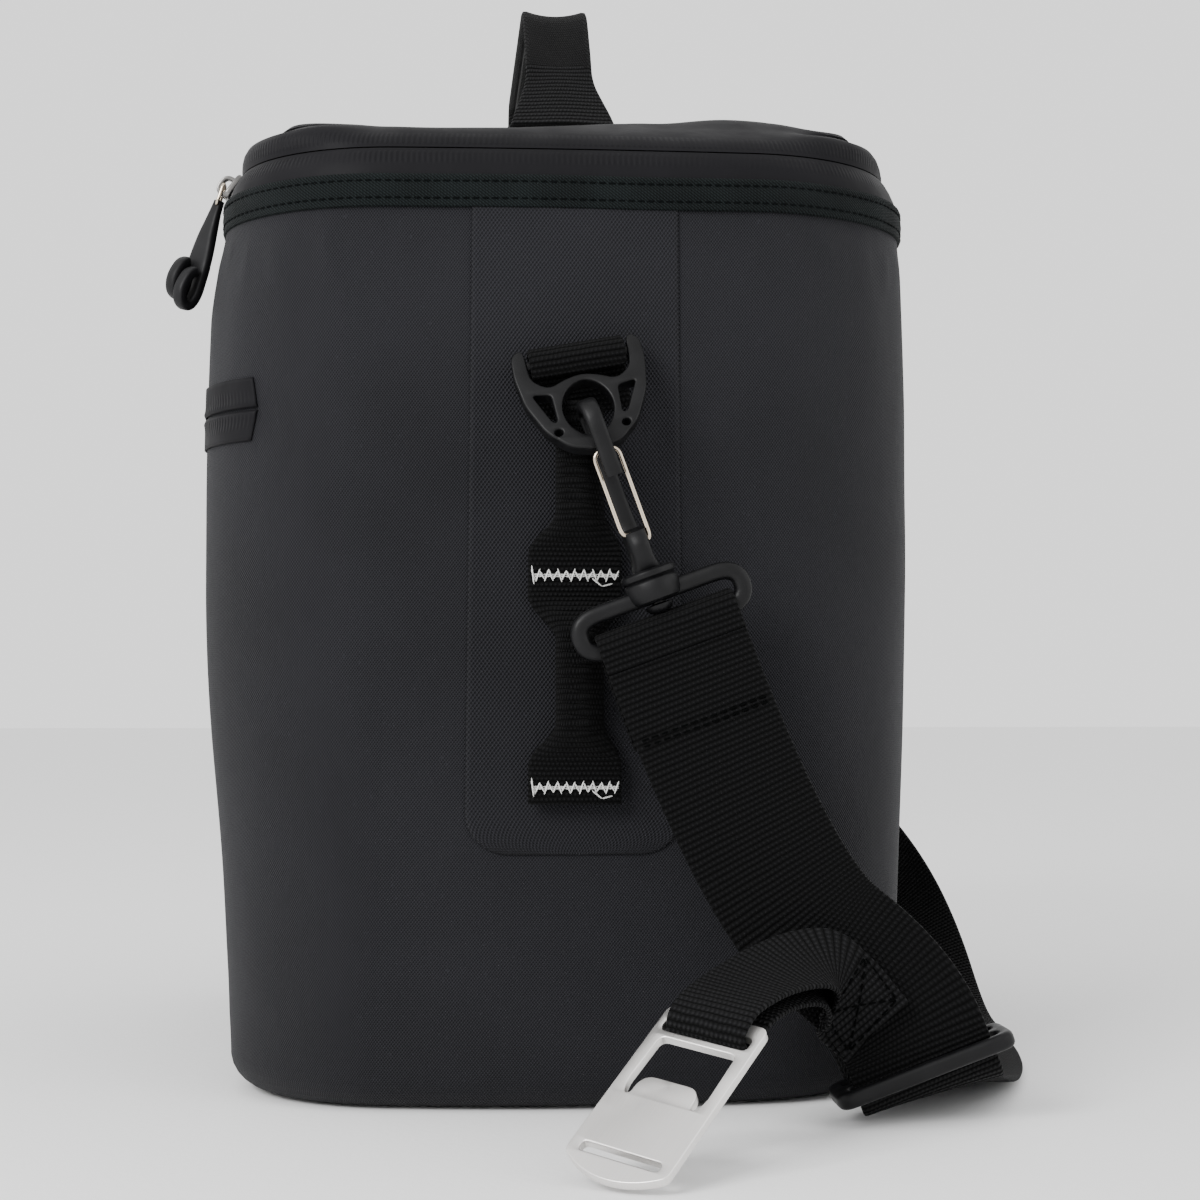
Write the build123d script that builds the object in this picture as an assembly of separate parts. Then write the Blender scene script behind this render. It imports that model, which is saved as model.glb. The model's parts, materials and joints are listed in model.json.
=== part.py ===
from build123d import *
import math
import os

# Soft-sided bag with a zipped lid, a carry handle and a clip-on shoulder strap.
# Frame: millimetres, +Z up, origin on the floor under the middle of the bag.
# The long side runs along Y, the front (pocket and zip pull) faces -X and the lid hinges at +X.
# "near" names the -Y end and "far" the +Y end.

# Bag shell
RIM_DEPTH = 196.0
RIM_LENGTH = 292.0
BASE_DEPTH = 192.0
BASE_LENGTH = 286.0
CORNER_R = 50.0
SIDE_BULGE = 3.0
RIM_END_BULGE = 4.0
BASE_END_BULGE = 14.0
BASE_EDGE_R = 10.0
RIM_Z = 249.5
SKIN = 1.0
FOAM = 9.0
LINER = 0.8
BASE_SEAM_Z = 14.0
CUT_REACH = 150.0

# Rim tape, end patches and front pocket film, all laid on the outside of the skin
TAPE_HEIGHT = 9.0
TAPE_THICK = 1.2
PATCH_WIDTH = 55.0
PATCH_LOW_Z = 68.0
PATCH_CORNER_R = 11.0
PATCH_THICK = 0.8
POCKET_ZIP_Z = 188.0
POCKET_ZIP_HEIGHT = 17.0
POCKET_ZIP_EDGE_X = -82.0
POCKET_SLIT = 1.0

# Zipped lid: heights and insets of the slit, the fold and the crown
SLIT_Z = 257.5
SLIT_INSET = 4.0
SLIT_GAP = 0.8
FOLD_Z = 263.3
FOLD_INSET = 12.0
CROWN = [(267.0, 22.0), (270.0, 33.0)]
FILM = 1.4
LID_FOAM = 4.0
LID_EDGE_INSET = 14.5

# Carry handle
HANDLE_FOOT_Y = 95.0
HANDLE_TOP_Y = 58.0
HANDLE_TOP_Z = 317.0
HANDLE_FOOT_WIDTH = 32.0
HANDLE_GRIP_WIDTH = 19.0
HANDLE_PLY = 2.4
GRIP_HALF = 46.0
GRIP_THICK = 6.0
HANDLE_FOLD_Z = 287.0
HANDLE_FOLD_R = 12.5
HANDLE_FOLD_GAP = 0.6
HANDLE_FOOT_TOP_Z = 282.0
ANCHOR_LENGTH = 34.0
ANCHOR_THICK = 1.6

# End hardware: D-ring, its webbing, and the daisy chain under it
DRING_Y = 151.5
DRING_Z = 199.0
DRING_ROLL = 10.0
DRING_LEAN = 26.0
DRING_THICK = 4.5
DRING_HALF = 17.5
BAR_R = 1.7
LOOP_IN_R = 2.8
LOOP_OUT_R = 4.8
LOOP_WIDTH = 26.0
DAISY_WIDTH = 25.0
DAISY_PLY = 1.5
TACK_Z = [142.0, 86.0]
TACK_SIZE = (22.5, 1.0, 3.6)
LOOP_RISE = 7.0

# Snap hook and its swivel eye, in their own leaned frame
HOOK_TILT = 20.0
HOOK_AT = (18.6, 162.0, 139.6)
HOOK_THICK = 6.0
WIRE_R = 0.75
EYE_HALF = 25.0
EYE_BAR_Z = -12.7
EYE_ROD_R = 2.4

# Shoulder strap
STRAP_WIDTH = 38.0
STRAP_PLY = 1.6
TAB_WIDTH = 22.0

STRAP_ROUTE = [
    (22.9, -165.7, 127.7), (48.0, -165.7, 59.0), (82.0, -165.7, 33.0), (91.3, -165.7, 8.2),
    (94.5, -148.0, 6.6), (109.0, -112.0, 2.2), (120.0, -74.0, 1.2), (126.0, -32.0, 1.3),
    (129.0, 10.0, 3.2), (131.0, 48.0, 20.0), (129.0, 86.0, 45.0), (117.0, 122.0, 65.0),
    (90.0, 152.0, 73.0), (56.0, 165.0, 82.0), (33.5, 165.7, 101.0), (22.9, 165.7, 127.7),
]
STRAP_ACROSS = [
    (-0.94, 0, -0.34), (-0.94, 0, -0.34), (-0.94, 0, -0.34), (-0.94, 0, -0.34),
    (-0.96, 0.2, -0.16), (-0.96, 0.27, 0), (-0.97, 0.23, 0), (-0.98, 0.15, 0),
    (-1, 0.1, -0.05), (-0.8, 0, -0.5), (-0.25, 0, -1), (0, 0, -1),
    (0, 0, -1), (-0.3, 0, -1), (-0.9, 0, -0.4), (-0.94, 0, -0.34),
]
FOLD_CORNER = 3
FOLD_R = 3.2
NEAR_DROP_RUNS = 4
FLOOR_RUNS = 4
SLIDER_ABOVE_FOLD = 6.2

# Zip pulls
SLIDER_Y = -81.0
SLIDER_LEAN = 35.0
ZIP_STOP_Y = 84.0
ZIP_STOP_THICK = 1.5
PULL_SWING = 17.0
PULL_TWIST = 48.0
MAIN_PULL_WIDTH, MAIN_PULL_LENGTH = 8.5, 38.0
POCKET_PULL_WIDTH, POCKET_PULL_LENGTH = 6.5, 24.0
POCKET_SLIDER_Y = 45.0

# Opener tab: its middle line from the strap to the opener, the way its width points, the way back
TAB_STATIONS = [
    ((72.0, -168.4, 31.0), (0.69, 0, 0.72), (-0.72, 0, 0.69)),
    ((66.0, -169.2, 37.5), (0.69, 0, 0.72), (-0.60, -0.30, 0.74)),
    ((63.5, -173.0, 43.5), (0.20, 0.35, 0.91), (-0.55, -0.75, 0.35)),
    ((54.7, -180.5, 45.5), (-0.45, 0.65, 0.61), (-0.80, -0.60, -0.05)),
    ((41.5, -192.5, 42.5), (-0.66, 0.72, 0.22), (-0.65, -0.65, -0.38)),
]
TAB_LOOP_INNER, TAB_LOOP_OUTER = 3.0, 4.6

# Bottle opener
OPENER_AT = (29.4, -208.0, 31.8)
OPENER_ACROSS = (0.769, -0.625, -0.130)
OPENER_NORMAL = (-0.297, -0.530, 0.795)
OPENER_WIDTH = 28.0
OPENER_LENGTH = 53.0
OPENER_THICK = 2.5
OPENER_BAR = 2.2
OPENER_TIP_RISE = 5.0


def lerp(low, high, t):
    return low + (high - low) * t


def plan(inset, z):
    """Outline of the bag at height z: four bowed sides with rounded corners, drawn inset."""
    t = min(z / RIM_Z, 1.0)
    half_x = lerp(BASE_DEPTH, RIM_DEPTH, t) / 2
    half_y = lerp(BASE_LENGTH, RIM_LENGTH, t) / 2
    end_bulge = lerp(BASE_END_BULGE, RIM_END_BULGE, t)
    x = half_x - SIDE_BULGE
    y = half_y - end_bulge
    sides = [
        ThreePointArc((-x, -y), (0, -half_y), (x, -y)),
        ThreePointArc((x, -y), (half_x, 0), (x, y)),
        ThreePointArc((x, y), (0, half_y), (-x, y)),
        ThreePointArc((-x, y), (-half_x, 0), (-x, -y)),
    ]
    face = make_face(sides)
    face = fillet(face.vertices(), CORNER_R)
    if inset:
        face = offset(face, -inset)
    return Pos(0, 0, z) * face


def tub(inset, low=0.0):
    """Filled bag shape, inset all round, from height low up to the rim."""
    body = loft([plan(inset, low), plan(inset, RIM_Z)], ruled=True)
    radius = max(BASE_EDGE_R - inset, 2.0)
    return fillet(body.edges().group_by(Axis.Z)[0], radius)


def stack(stations):
    """Filled shape through (height, inset) stations."""
    return loft([plan(inset, z) for z, inset in stations], ruled=True)


def prism(inset, low, high):
    """Upright filled shape with the outline that the rim has."""
    return Pos(0, 0, low - RIM_Z) * extrude(plan(inset, RIM_Z), high - low)


def side_wedge(turn, half_across, half_along):
    """Upright wedge holding one side of the bag, between two corner seams."""
    corner = CORNER_R
    near = half_along - corner
    wide = half_across - corner
    outline = Polyline(
        (near, -wide), (near + CUT_REACH, -wide - CUT_REACH),
        (near + CUT_REACH, wide + CUT_REACH), (near, wide), close=True)
    block = extrude(make_face(outline), 2 * CUT_REACH)
    return Rot(0, 0, turn) * block


def wedges():
    half_x = RIM_DEPTH / 2
    half_y = RIM_LENGTH / 2
    return {
        "back": side_wedge(0, half_y, half_x),
        "far_end": side_wedge(90, half_x, half_y),
        "front": side_wedge(180, half_y, half_x),
        "near_end": side_wedge(270, half_x, half_y),
    }


def walls(solids):
    """Skin and foam boards, split at the corner seams, with the base and the liner."""
    skin_in = SKIN
    foam_in = SKIN + FOAM
    outer = tub(0.0)
    under_skin = tub(skin_in, skin_in)
    under_foam = tub(foam_in, foam_in)
    hollow = tub(foam_in + LINER, foam_in + LINER)
    skin = outer - under_skin
    foam = under_skin - under_foam
    above = Pos(0, 0, BASE_SEAM_Z) * Box(
        2 * CUT_REACH, 3 * CUT_REACH, 2 * CUT_REACH, align=(Align.CENTER, Align.CENTER, Align.MIN))
    for name, wedge in wedges().items():
        solids["outer_" + name] = skin & wedge & above
        solids["foam_" + name] = foam & wedge & above
    solids["outer_base"] = skin - above
    solids["foam_base"] = foam - above
    solids["inner_liner"] = under_foam - hollow


def trim(solids):
    low = RIM_Z - TAPE_HEIGHT
    solids["rim_tape"] = prism(-TAPE_THICK, low, RIM_Z) - prism(0.0, low - 1, RIM_Z + 1)
    height = low - PATCH_LOW_Z
    outline = RectangleRounded(PATCH_WIDTH, height, PATCH_CORNER_R)
    outline += Pos(0, height / 4) * Rectangle(PATCH_WIDTH, height / 2)
    block = extrude(Plane.XZ * outline, CUT_REACH + 50)
    block = Pos(0, 0, low - height / 2) * block
    layer = tub(-PATCH_THICK) - tub(0.0)
    solids["near_patch"] = layer & block
    solids["far_patch"] = layer & mirror(block, Plane.XZ)
    film = Pos(POCKET_ZIP_EDGE_X, 0, POCKET_ZIP_Z) * Box(
        CUT_REACH, 2 * CUT_REACH, POCKET_ZIP_HEIGHT, align=(Align.MAX, Align.CENTER, Align.CENTER))
    slit = Pos(POCKET_ZIP_EDGE_X - 5, 0, POCKET_ZIP_Z) * Box(
        CUT_REACH, 2 * CUT_REACH, POCKET_SLIT, align=(Align.MAX, Align.CENTER, Align.CENTER))
    solids["pocket_zip"] = layer & (film - slit)


def lid(solids):
    half_gap = SLIT_GAP / 2
    low_outer = stack([(RIM_Z, 0.0), (SLIT_Z - half_gap, SLIT_INSET)])
    low_inner = stack([(RIM_Z, FILM), (SLIT_Z - half_gap, SLIT_INSET + FILM)])
    solids["zip_lower_band"] = low_outer - low_inner
    up_outer = stack([(SLIT_Z + half_gap, SLIT_INSET), (FOLD_Z, FOLD_INSET)])
    up_inner = stack([(SLIT_Z + half_gap, SLIT_INSET + FILM), (FOLD_Z, FOLD_INSET + FILM)])
    solids["zip_upper_band"] = up_outer - up_inner
    cap = stack([(FOLD_Z, FOLD_INSET)] + CROWN)
    under_skin = Pos(0, 0, -SKIN) * cap
    under_foam = Pos(0, 0, -SKIN - LID_FOAM) * cap
    under_liner = Pos(0, 0, -SKIN - LID_FOAM - LINER) * cap
    core = prism(LID_EDGE_INSET, SLIT_Z + 1, HANDLE_TOP_Z)
    solids["lid_skin"] = cap - under_skin
    solids["lid_foam"] = (under_skin - under_foam) & core
    solids["lid_liner"] = (under_foam - under_liner) & core


def side_strip(path, thick, width):
    """Webbing whose edge is drawn in the YZ plane, with its width along X."""
    return extrude(Plane.YZ * trace(path, thick), width / 2, both=True)


def handle(solids):
    top_z = CROWN[-1][0]
    anchors = []
    for side in (-1, 1):
        plate = Pos(0, side * HANDLE_FOOT_Y, top_z + ANCHOR_THICK / 2) * Box(
            HANDLE_FOOT_WIDTH, ANCHOR_LENGTH, ANCHOR_THICK)
        anchors.append(plate)
    solids["handle_anchors"] = Compound(children=anchors)
    foot_z = top_z + ANCHOR_THICK
    bend_r = 14.0
    middle_z = HANDLE_TOP_Z - HANDLE_PLY / 2
    path = FilletPolyline(
        (-HANDLE_FOOT_Y, foot_z - 5), (-HANDLE_TOP_Y, middle_z),
        (HANDLE_TOP_Y, middle_z), (HANDLE_FOOT_Y, foot_z - 5), radius=bend_r)
    strip = side_strip(path, HANDLE_PLY, HANDLE_FOOT_WIDTH)
    half_foot = HANDLE_FOOT_WIDTH / 2
    half_grip = HANDLE_GRIP_WIDTH / 2
    waist_z = HANDLE_TOP_Z - 18.0
    front = Polyline(
        (-half_foot, foot_z - 5), (half_foot, foot_z - 5), (half_grip, waist_z),
        (half_grip, HANDLE_TOP_Z + 5), (-half_grip, HANDLE_TOP_Z + 5), (-half_grip, waist_z), close=True)
    shape = extrude(Plane.XZ * make_face(front), CUT_REACH, both=True)
    webbing = strip & shape
    round_cut = Pos(0, 0, HANDLE_FOLD_Z) * Rot(90, 0, 0) * Cylinder(HANDLE_FOLD_R, 2 * CUT_REACH)
    wide_cut = Pos(0, 0, HANDLE_FOLD_Z) * Rot(90, 0, 0) * Cylinder(
        HANDLE_FOLD_R + HANDLE_FOLD_GAP, 2 * CUT_REACH)
    above = Pos(0, 0, HANDLE_FOLD_Z + CUT_REACH / 2) * Box(CUT_REACH, 2 * CUT_REACH, CUT_REACH)
    foot_height = HANDLE_FOOT_TOP_Z - foot_z
    feet = Pos(0, 0, foot_z + foot_height / 2) * Box(CUT_REACH, 2 * CUT_REACH, foot_height)
    solids["handle_webbing"] = webbing & (above + round_cut)
    solids["handle_feet"] = (webbing & feet) - wide_cut
    grip_z = HANDLE_TOP_Z - HANDLE_PLY - GRIP_THICK / 2
    grip = Pos(0, 0, grip_z) * Box(HANDLE_GRIP_WIDTH, 2 * GRIP_HALF, GRIP_THICK)
    solids["handle_grip"] = fillet(grip.edges().filter_by(Axis.Y).group_by(Axis.Z)[0], 2.0)


def zip_pull(width, length, twist):
    """Moulded pull on a wire link: a stem that widens downward and is twisted, then two curled fingers."""
    pin = Rot(90, 0, 0) * Cylinder(0.5, 4.6)
    cheeks = [Pos(0, side * 2.4, -2.0) * Box(1.2, 1.2, 5.0) for side in (-1, 1)]
    neck = Pos(0, 0, -5.4) * Box(2.2, 6.0, 2.4)
    stem_end = 7.0 - length
    stem = loft([
        Pos(0, 0, -6.2) * Rot(0, 0, twist) * Rectangle(2.4, 0.5 * width),
        Pos(0, 0, stem_end) * Rot(0, 0, twist) * Rectangle(2.8, width),
    ])
    pull = pin + cheeks[0] + cheeks[1] + neck + stem
    for side in (-1, 1):
        finger = Pos(-1.0, side * width * 0.28, stem_end - 2.0) * Box(4.8, width * 0.36, 7.4)
        pull = pull + Rot(0, 0, twist) * finger
    return pull


def zip_parts(solids):
    seat_x = -(RIM_DEPTH / 2 - SLIT_INSET) - 1.0
    seat = Pos(seat_x, SLIDER_Y, SLIT_Z) * Rot(0, SLIDER_LEAN, 0)
    plate = Pos(-1.0, 0, -0.6) * Box(2.0, 17.0, 8.2)
    plate = fillet(plate.edges().filter_by(Axis.X), 2.0)
    bail = Pos(-3.7, 0, -0.5) * Box(3.8, 3.0, 5.0)
    hole = Pos(-4.6, 0, -0.5) * Rot(90, 0, 0) * Cylinder(0.7, 8.0)
    solids["main_zip_slider"] = seat * (plate + bail - hole)
    pin_at = seat * Pos(-4.6, 0, -0.5)
    pull = zip_pull(MAIN_PULL_WIDTH, MAIN_PULL_LENGTH, PULL_TWIST)
    solids["main_zip_pull"] = pin_at * Rot(0, PULL_SWING - SLIDER_LEAN, 0) * pull
    pocket_x = -(RIM_DEPTH / 2 + PATCH_THICK) + 0.4
    small = Pos(pocket_x - 1.0, POCKET_SLIDER_Y, POCKET_ZIP_Z) * Box(2.0, 14.0, 8.0)
    small = fillet(small.edges().filter_by(Axis.X), 2.0)
    bail = Pos(pocket_x - 3.0, POCKET_SLIDER_Y, POCKET_ZIP_Z) * Box(2.4, 3.0, 5.0)
    hole = Pos(pocket_x - 3.2, POCKET_SLIDER_Y, POCKET_ZIP_Z) * Rot(90, 0, 0) * Cylinder(0.7, 8.0)
    solids["pocket_slider"] = small + bail - hole
    pull = zip_pull(POCKET_PULL_WIDTH, POCKET_PULL_LENGTH, 0.0)
    solids["pocket_pull"] = Pos(pocket_x - 3.2, POCKET_SLIDER_Y, POCKET_ZIP_Z) * pull
    slit_low = SLIT_Z - SLIT_GAP / 2
    outer = stack([(RIM_Z, -ZIP_STOP_THICK), (slit_low, SLIT_INSET - ZIP_STOP_THICK)])
    layer = outer - stack([(RIM_Z, 0.0), (slit_low, SLIT_INSET)])
    stops = []
    for side in (-1, 1):
        block = Pos(RIM_DEPTH / 2, side * ZIP_STOP_Y, SLIT_Z - 3.0) * Box(20.0, 10.0, 5.0)
        stops.append((layer & block).solid())
    solids["zip_end_stops"] = Compound(children=stops)


def dring_frame():
    return Pos(0, -DRING_Y, DRING_Z) * Rot(0, -DRING_ROLL, 0)


def dring():
    half = DRING_HALF
    outline = make_face([
        Polyline((-half + 2, 2.4), (half - 2, 2.4), (half, 0.4), (half - 1.6, -12.0)),
        ThreePointArc((half - 1.6, -12.0), (0, -25.8), (-half + 1.6, -12.0)),
        Polyline((-half + 1.6, -12.0), (-half, 0.4), (-half + 2, 2.4)),
    ])
    ring = extrude(Plane.XZ * outline, DRING_THICK / 2, both=True)
    slot = Pos(0, 0, -BAR_R - 2.7) * Box(28.0, 20.0, 5.4)
    over_bar = Pos(0, 0, 6.0 + BAR_R) * Box(28.0, 20.0, 12.0)
    in_front = Pos(0, -BAR_R - 3, 0) * Box(28.0, 6.0, 8.0)
    behind = Pos(0, BAR_R + 3, 0) * Box(28.0, 6.0, 8.0)
    hole_sketch = Pos(0, -15.0) * RectangleRounded(14.0, 12.0, 4.5)
    hole = extrude(Plane.XZ * hole_sketch, 10, both=True)
    windows = []
    for side in (-1, 1):
        pane = Pos(side * 11.6, -12.0) * Rot(0, 0, side * 12) * RectangleRounded(4.2, 7.0, 1.6)
        windows.append(extrude(Plane.XZ * pane, 10, both=True))
        pin = Pos(side * 9.6, -19.0) * Circle(1.0)
        windows.append(extrude(Plane.XZ * pin, 10, both=True))
    ring = ring - slot - over_bar - in_front - behind - hole
    for cut in windows:
        ring = ring - cut
    return dring_frame() * Rot(-DRING_LEAN, 0, 0) * ring


def dring_loop():
    outer = Rot(0, 90, 0) * Cylinder(LOOP_OUT_R, LOOP_WIDTH)
    inner = Rot(0, 90, 0) * Cylinder(LOOP_IN_R, LOOP_WIDTH + 2)
    tail = Pos(0, LOOP_OUT_R - 1.0, -6.5) * Box(LOOP_WIDTH, 2.0, 13.0)
    ring = (outer + tail) - inner
    return dring_frame() * ring


def daisy_webbing():
    """Webbing sewn down at each tack and standing off the patch between them, side profile in YZ."""
    back = -(RIM_LENGTH / 2 - 0.9)
    width = DAISY_WIDTH
    top = DRING_Z - 13.5
    spans = [(top, TACK_Z[0]), (TACK_Z[0], TACK_Z[1])]
    strips = []
    for high, low in spans:
        middle = (high + low) / 2
        arc = ThreePointArc(
            (back - DAISY_PLY / 2, high - 2.5), (back - LOOP_RISE, middle), (back - DAISY_PLY / 2, low + 2.5))
        strips.append(side_strip(arc, DAISY_PLY, width))
    for z in TACK_Z:
        pad = Pos(0, back - DAISY_PLY / 2, z) * Box(width, DAISY_PLY, 6.0)
        strips.append(pad)
    head = Pos(0, back - DAISY_PLY / 2, top) * Box(width, DAISY_PLY, 6.0)
    strips.append(head)
    webbing = strips[0]
    for strip in strips[1:]:
        webbing = webbing + strip
    return webbing - tub(-PATCH_THICK)


def bar_tacks(webbing):
    back = -(RIM_LENGTH / 2 - 0.9) - DAISY_PLY
    rows = [Pos(0, back - TACK_SIZE[1] / 2, z) * Box(*TACK_SIZE) for z in TACK_Z]
    return Compound(children=[(row - webbing).solid() for row in rows])


def hook_frame():
    x, y, z = HOOK_AT
    return Pos(x, -y, z) * Rot(0, -HOOK_TILT, 0)


def snap_hook():
    half = 8.6
    gap = 4.7
    top = 50.6
    outline = Pos(0, (top + 6.0) / 2) * RectangleRounded(2 * half, top - 6.0, half - 0.5)
    inner_top = top - 3.4
    inner = Pos(0, (inner_top + 13.0) / 2) * RectangleRounded(2 * gap, inner_top - 13.0, gap - 0.5)
    body = extrude(Plane.YZ * (outline - inner), HOOK_THICK / 2, both=True)
    mouth = Pos(0, -half, 25.4) * Box(20.0, 2 * (half - gap), 25.6)
    gate_seat = Pos(0, -6.6, 10.8) * Box(7.0, 6.4, 5.0)
    stem = Pos(0, 0, 4.5) * Cylinder(3.6, 5.0)
    gate_room = Pos(0, -3.5, 15.1) * Box(20.0, 5.0, 5.0)
    return hook_frame() * (body - mouth - gate_seat - gate_room + stem)


def gate():
    reach = 24.6
    wire = FilletPolyline(
        (-2.0, 0, 0), (-2.0, 0, reach), (2.0, 0, reach), (2.0, 0, 0), radius=1.9)
    loop = sweep(Plane(wire @ 0, z_dir=wire % 0) * Circle(WIRE_R), path=wire)
    foot = Rot(0, 90, 0) * Cylinder(1.6, 5.0)
    return hook_frame() * Pos(0, -6.4, 11.4) * (loop + foot)


def swivel_eye():
    rod = EYE_ROD_R
    half = EYE_HALF - rod
    arm_z = -3.4
    path = FilletPolyline(
        (-half, 0, arm_z), (half, 0, arm_z), (half, 0, EYE_BAR_Z), (-half, 0, EYE_BAR_Z),
        radius=3.8, close=True)
    ring = sweep(Plane(path @ 0.0, z_dir=path % 0.0) * Circle(rod), path=path)
    collar = Pos(0, 0, -1.2) * Cylinder(7.2, 5.6)
    eye = collar + ring
    bore = Cylinder(2.0, 14.0)
    return hook_frame() * (eye - bore)


def swivel_rivet():
    head = Pos(0, 0, -6.8) * Cylinder(3.4, 1.6)
    shaft = Pos(0, 0, -2.0) * Cylinder(1.8, 8.0)
    return hook_frame() * (head + shaft)


def mirrored(shape):
    return mirror(shape, Plane.XZ)


def end_hardware(solids):
    webbing = daisy_webbing()
    near = {
        "dring": dring(),
        "dring_loop": dring_loop(),
        "daisy_webbing": webbing,
        "bar_tacks": bar_tacks(webbing),
        "snap_hook": snap_hook(),
        "hook_gate": gate(),
        "swivel_eye": swivel_eye(),
        "swivel_rivet": swivel_rivet(),
    }
    for name, shape in near.items():
        solids["near_" + name] = shape
        solids["far_" + name] = mirrored(shape)


def corner_radii(route):
    """Largest tangent arcs that the runs allow, with the tight fold at the slider on its own."""
    radii = []
    for index in range(1, len(route) - 1):
        before = Vector(*route[index]) - Vector(*route[index - 1])
        after = Vector(*route[index + 1]) - Vector(*route[index])
        half_turn = math.radians(before.get_angle(after)) / 2
        radius = 0.45 * min(before.length, after.length) / math.tan(half_turn)
        radii.append(FOLD_R if index == FOLD_CORNER else radius)
    return radii


def run_fractions(route):
    """How far along the route each of its points lies, from 0 to 1."""
    lengths = [0.0]
    for start, end in zip(route, route[1:]):
        lengths.append(lengths[-1] + (Vector(*end) - Vector(*start)).length)
    return [length / lengths[-1] for length in lengths]


def across_at(fractions, across, t):
    """Way that the webbing's width points at a share t of the route, blended between its points."""
    for index in range(len(fractions) - 1):
        if t <= fractions[index + 1]:
            break
    share = (t - fractions[index]) / (fractions[index + 1] - fractions[index])
    share = min(max(share, 0.0), 1.0)
    return Vector(*across[index]) * (1 - share) + Vector(*across[index + 1]) * share


def ribbon(path, edges, fractions, across, width, thick):
    """Flat webbing lofted through square sections of the path, its width turning as given."""
    sections = []
    for number, edge in enumerate(edges):
        steps = 4 if edge.geom_type == GeomType.CIRCLE else 1
        first = 0 if number == 0 else 1
        for step in range(first, steps + 1):
            at = edge @ (step / steps)
            along = edge % (step / steps)
            width_way = across_at(fractions, across, path.param_at_point(at))
            sections.append(Plane(at, x_dir=width_way, z_dir=along) * Rectangle(width, thick))
    return loft(sections, ruled=True)


def strap(solids):
    radii = corner_radii(STRAP_ROUTE)
    print("strap bend radii, mm:", [round(radius, 1) for radius in radii])
    path = FilletPolyline(*STRAP_ROUTE, radius=radii)
    print("strap length, mm:", round(path.length, 1))
    edges = path.edges()
    fractions = run_fractions(STRAP_ROUTE)
    first_cut = 2 * NEAR_DROP_RUNS
    second_cut = first_cut + 2 * FLOOR_RUNS
    spans = {
        "strap_near_drop": edges[:first_cut],
        "strap_floor_run": edges[first_cut:second_cut],
        "strap_far_drop": edges[second_cut:],
    }
    for name, span in spans.items():
        solids[name] = ribbon(path, span, fractions, STRAP_ACROSS, STRAP_WIDTH, STRAP_PLY)
        length = sum(edge.length for edge in span)
        print(name, "volume", round(solids[name].volume), "section x length", round(
            length * STRAP_WIDTH * STRAP_PLY))


def strap_fold():
    """Back ply of the strap end, folded over the eye bar and sewn 27 mm below it."""
    turn = LOOP_OUT_R - STRAP_PLY / 2
    ply = FilletPolyline(
        (-turn + 0.8, EYE_BAR_Z + 0.4), (-turn + 0.8, EYE_BAR_Z + turn - 0.3),
        (turn, EYE_BAR_Z + turn - 0.3), (turn, EYE_BAR_Z - 27.0), radius=2.6)
    return hook_frame() * side_strip(ply, STRAP_PLY, STRAP_WIDTH)


def slider_frame():
    x, y, z = STRAP_ROUTE[FOLD_CORNER]
    return Pos(x, y, z) * Rot(0, -HOOK_TILT, 0) * Pos(0, 0, SLIDER_ABOVE_FOLD)


def tri_glide():
    frame = Pos(0, 4.4, 0) * Box(49.0, 18.8, 3.6)
    frame = fillet(frame.edges().filter_by(Axis.Z), 4.0)
    for y in (0.0, 7.4):
        frame = frame - Pos(0, y, 0) * Box(41.0, 3.0, 10.0)
    return slider_frame() * frame


def strap_end_loop():
    """Hemmed webbing end sewn round the rear bar of the strap slider."""
    path = FilletPolyline(
        (20.0, 19.0), (7.3, 4.0), (7.3, -3.6), (15.4, -3.6), (15.4, 4.0), (25.0, 19.0), radius=2.0)
    return slider_frame() * side_strip(path, STRAP_PLY, STRAP_WIDTH)


def opener_plane():
    return Plane(OPENER_AT, x_dir=OPENER_ACROSS, z_dir=OPENER_NORMAL)


def opener():
    """Flat steel opener: strap slot at the top, cap window with a tongue and hooks, slot at the tip."""
    half = OPENER_WIDTH / 2
    tip = OPENER_BAR - OPENER_LENGTH
    outline = make_face([
        Polyline((-half, tip + OPENER_TIP_RISE), (-half, OPENER_BAR), (half, OPENER_BAR),
                 (half, tip + OPENER_TIP_RISE)),
        ThreePointArc((half, tip + OPENER_TIP_RISE), (0, tip), (-half, tip + OPENER_TIP_RISE)),
    ])
    outline = fillet(outline.vertices().group_by(Axis.Y)[-1], 3.0)
    strap_slot = Pos(0, -3.9) * RectangleRounded(24.0, 4.0, 1.5)
    right = [(10.6, -7.8), (11.0, -22.6), (9.8, -26.0), (8.3, -26.0), (8.3, -22.6), (6.6, -20.0)]
    left = [(-x, y) for x, y in reversed(right)]
    window = make_face(Polyline(*right, *left, close=True))
    window = fillet(window.vertices(), 0.7)
    end_slot = Pos(0, tip + 7.2) * RectangleRounded(22.0, 2.8, 1.3)
    plate = extrude(outline - strap_slot - window - end_slot, OPENER_THICK / 2, both=True)
    return opener_plane() * plate


def strap_tab():
    """Webbing tab sewn on the strap, turning over to a loop round the opener's top bar."""
    plane = opener_plane()
    ring = Rot(0, 90, 0) * (Cylinder(TAB_LOOP_OUTER, TAB_WIDTH) - Cylinder(TAB_LOOP_INNER, TAB_WIDTH + 2))
    stations = [Plane(at, x_dir=across, z_dir=back) for at, across, back in TAB_STATIONS]
    for reach in (TAB_LOOP_OUTER + 1.4, TAB_LOOP_OUTER - 0.8):
        at = plane.from_local_coords((0, reach, 0))
        stations.append(Plane(at, x_dir=-plane.x_dir, z_dir=-plane.y_dir))
    runs = [stations[:-1], stations[-2:]]
    shape = plane * ring
    for run in runs:
        shape = shape + loft([place * Rectangle(TAB_WIDTH, 2 * STRAP_PLY) for place in run], ruled=True)
    return shape


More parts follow.
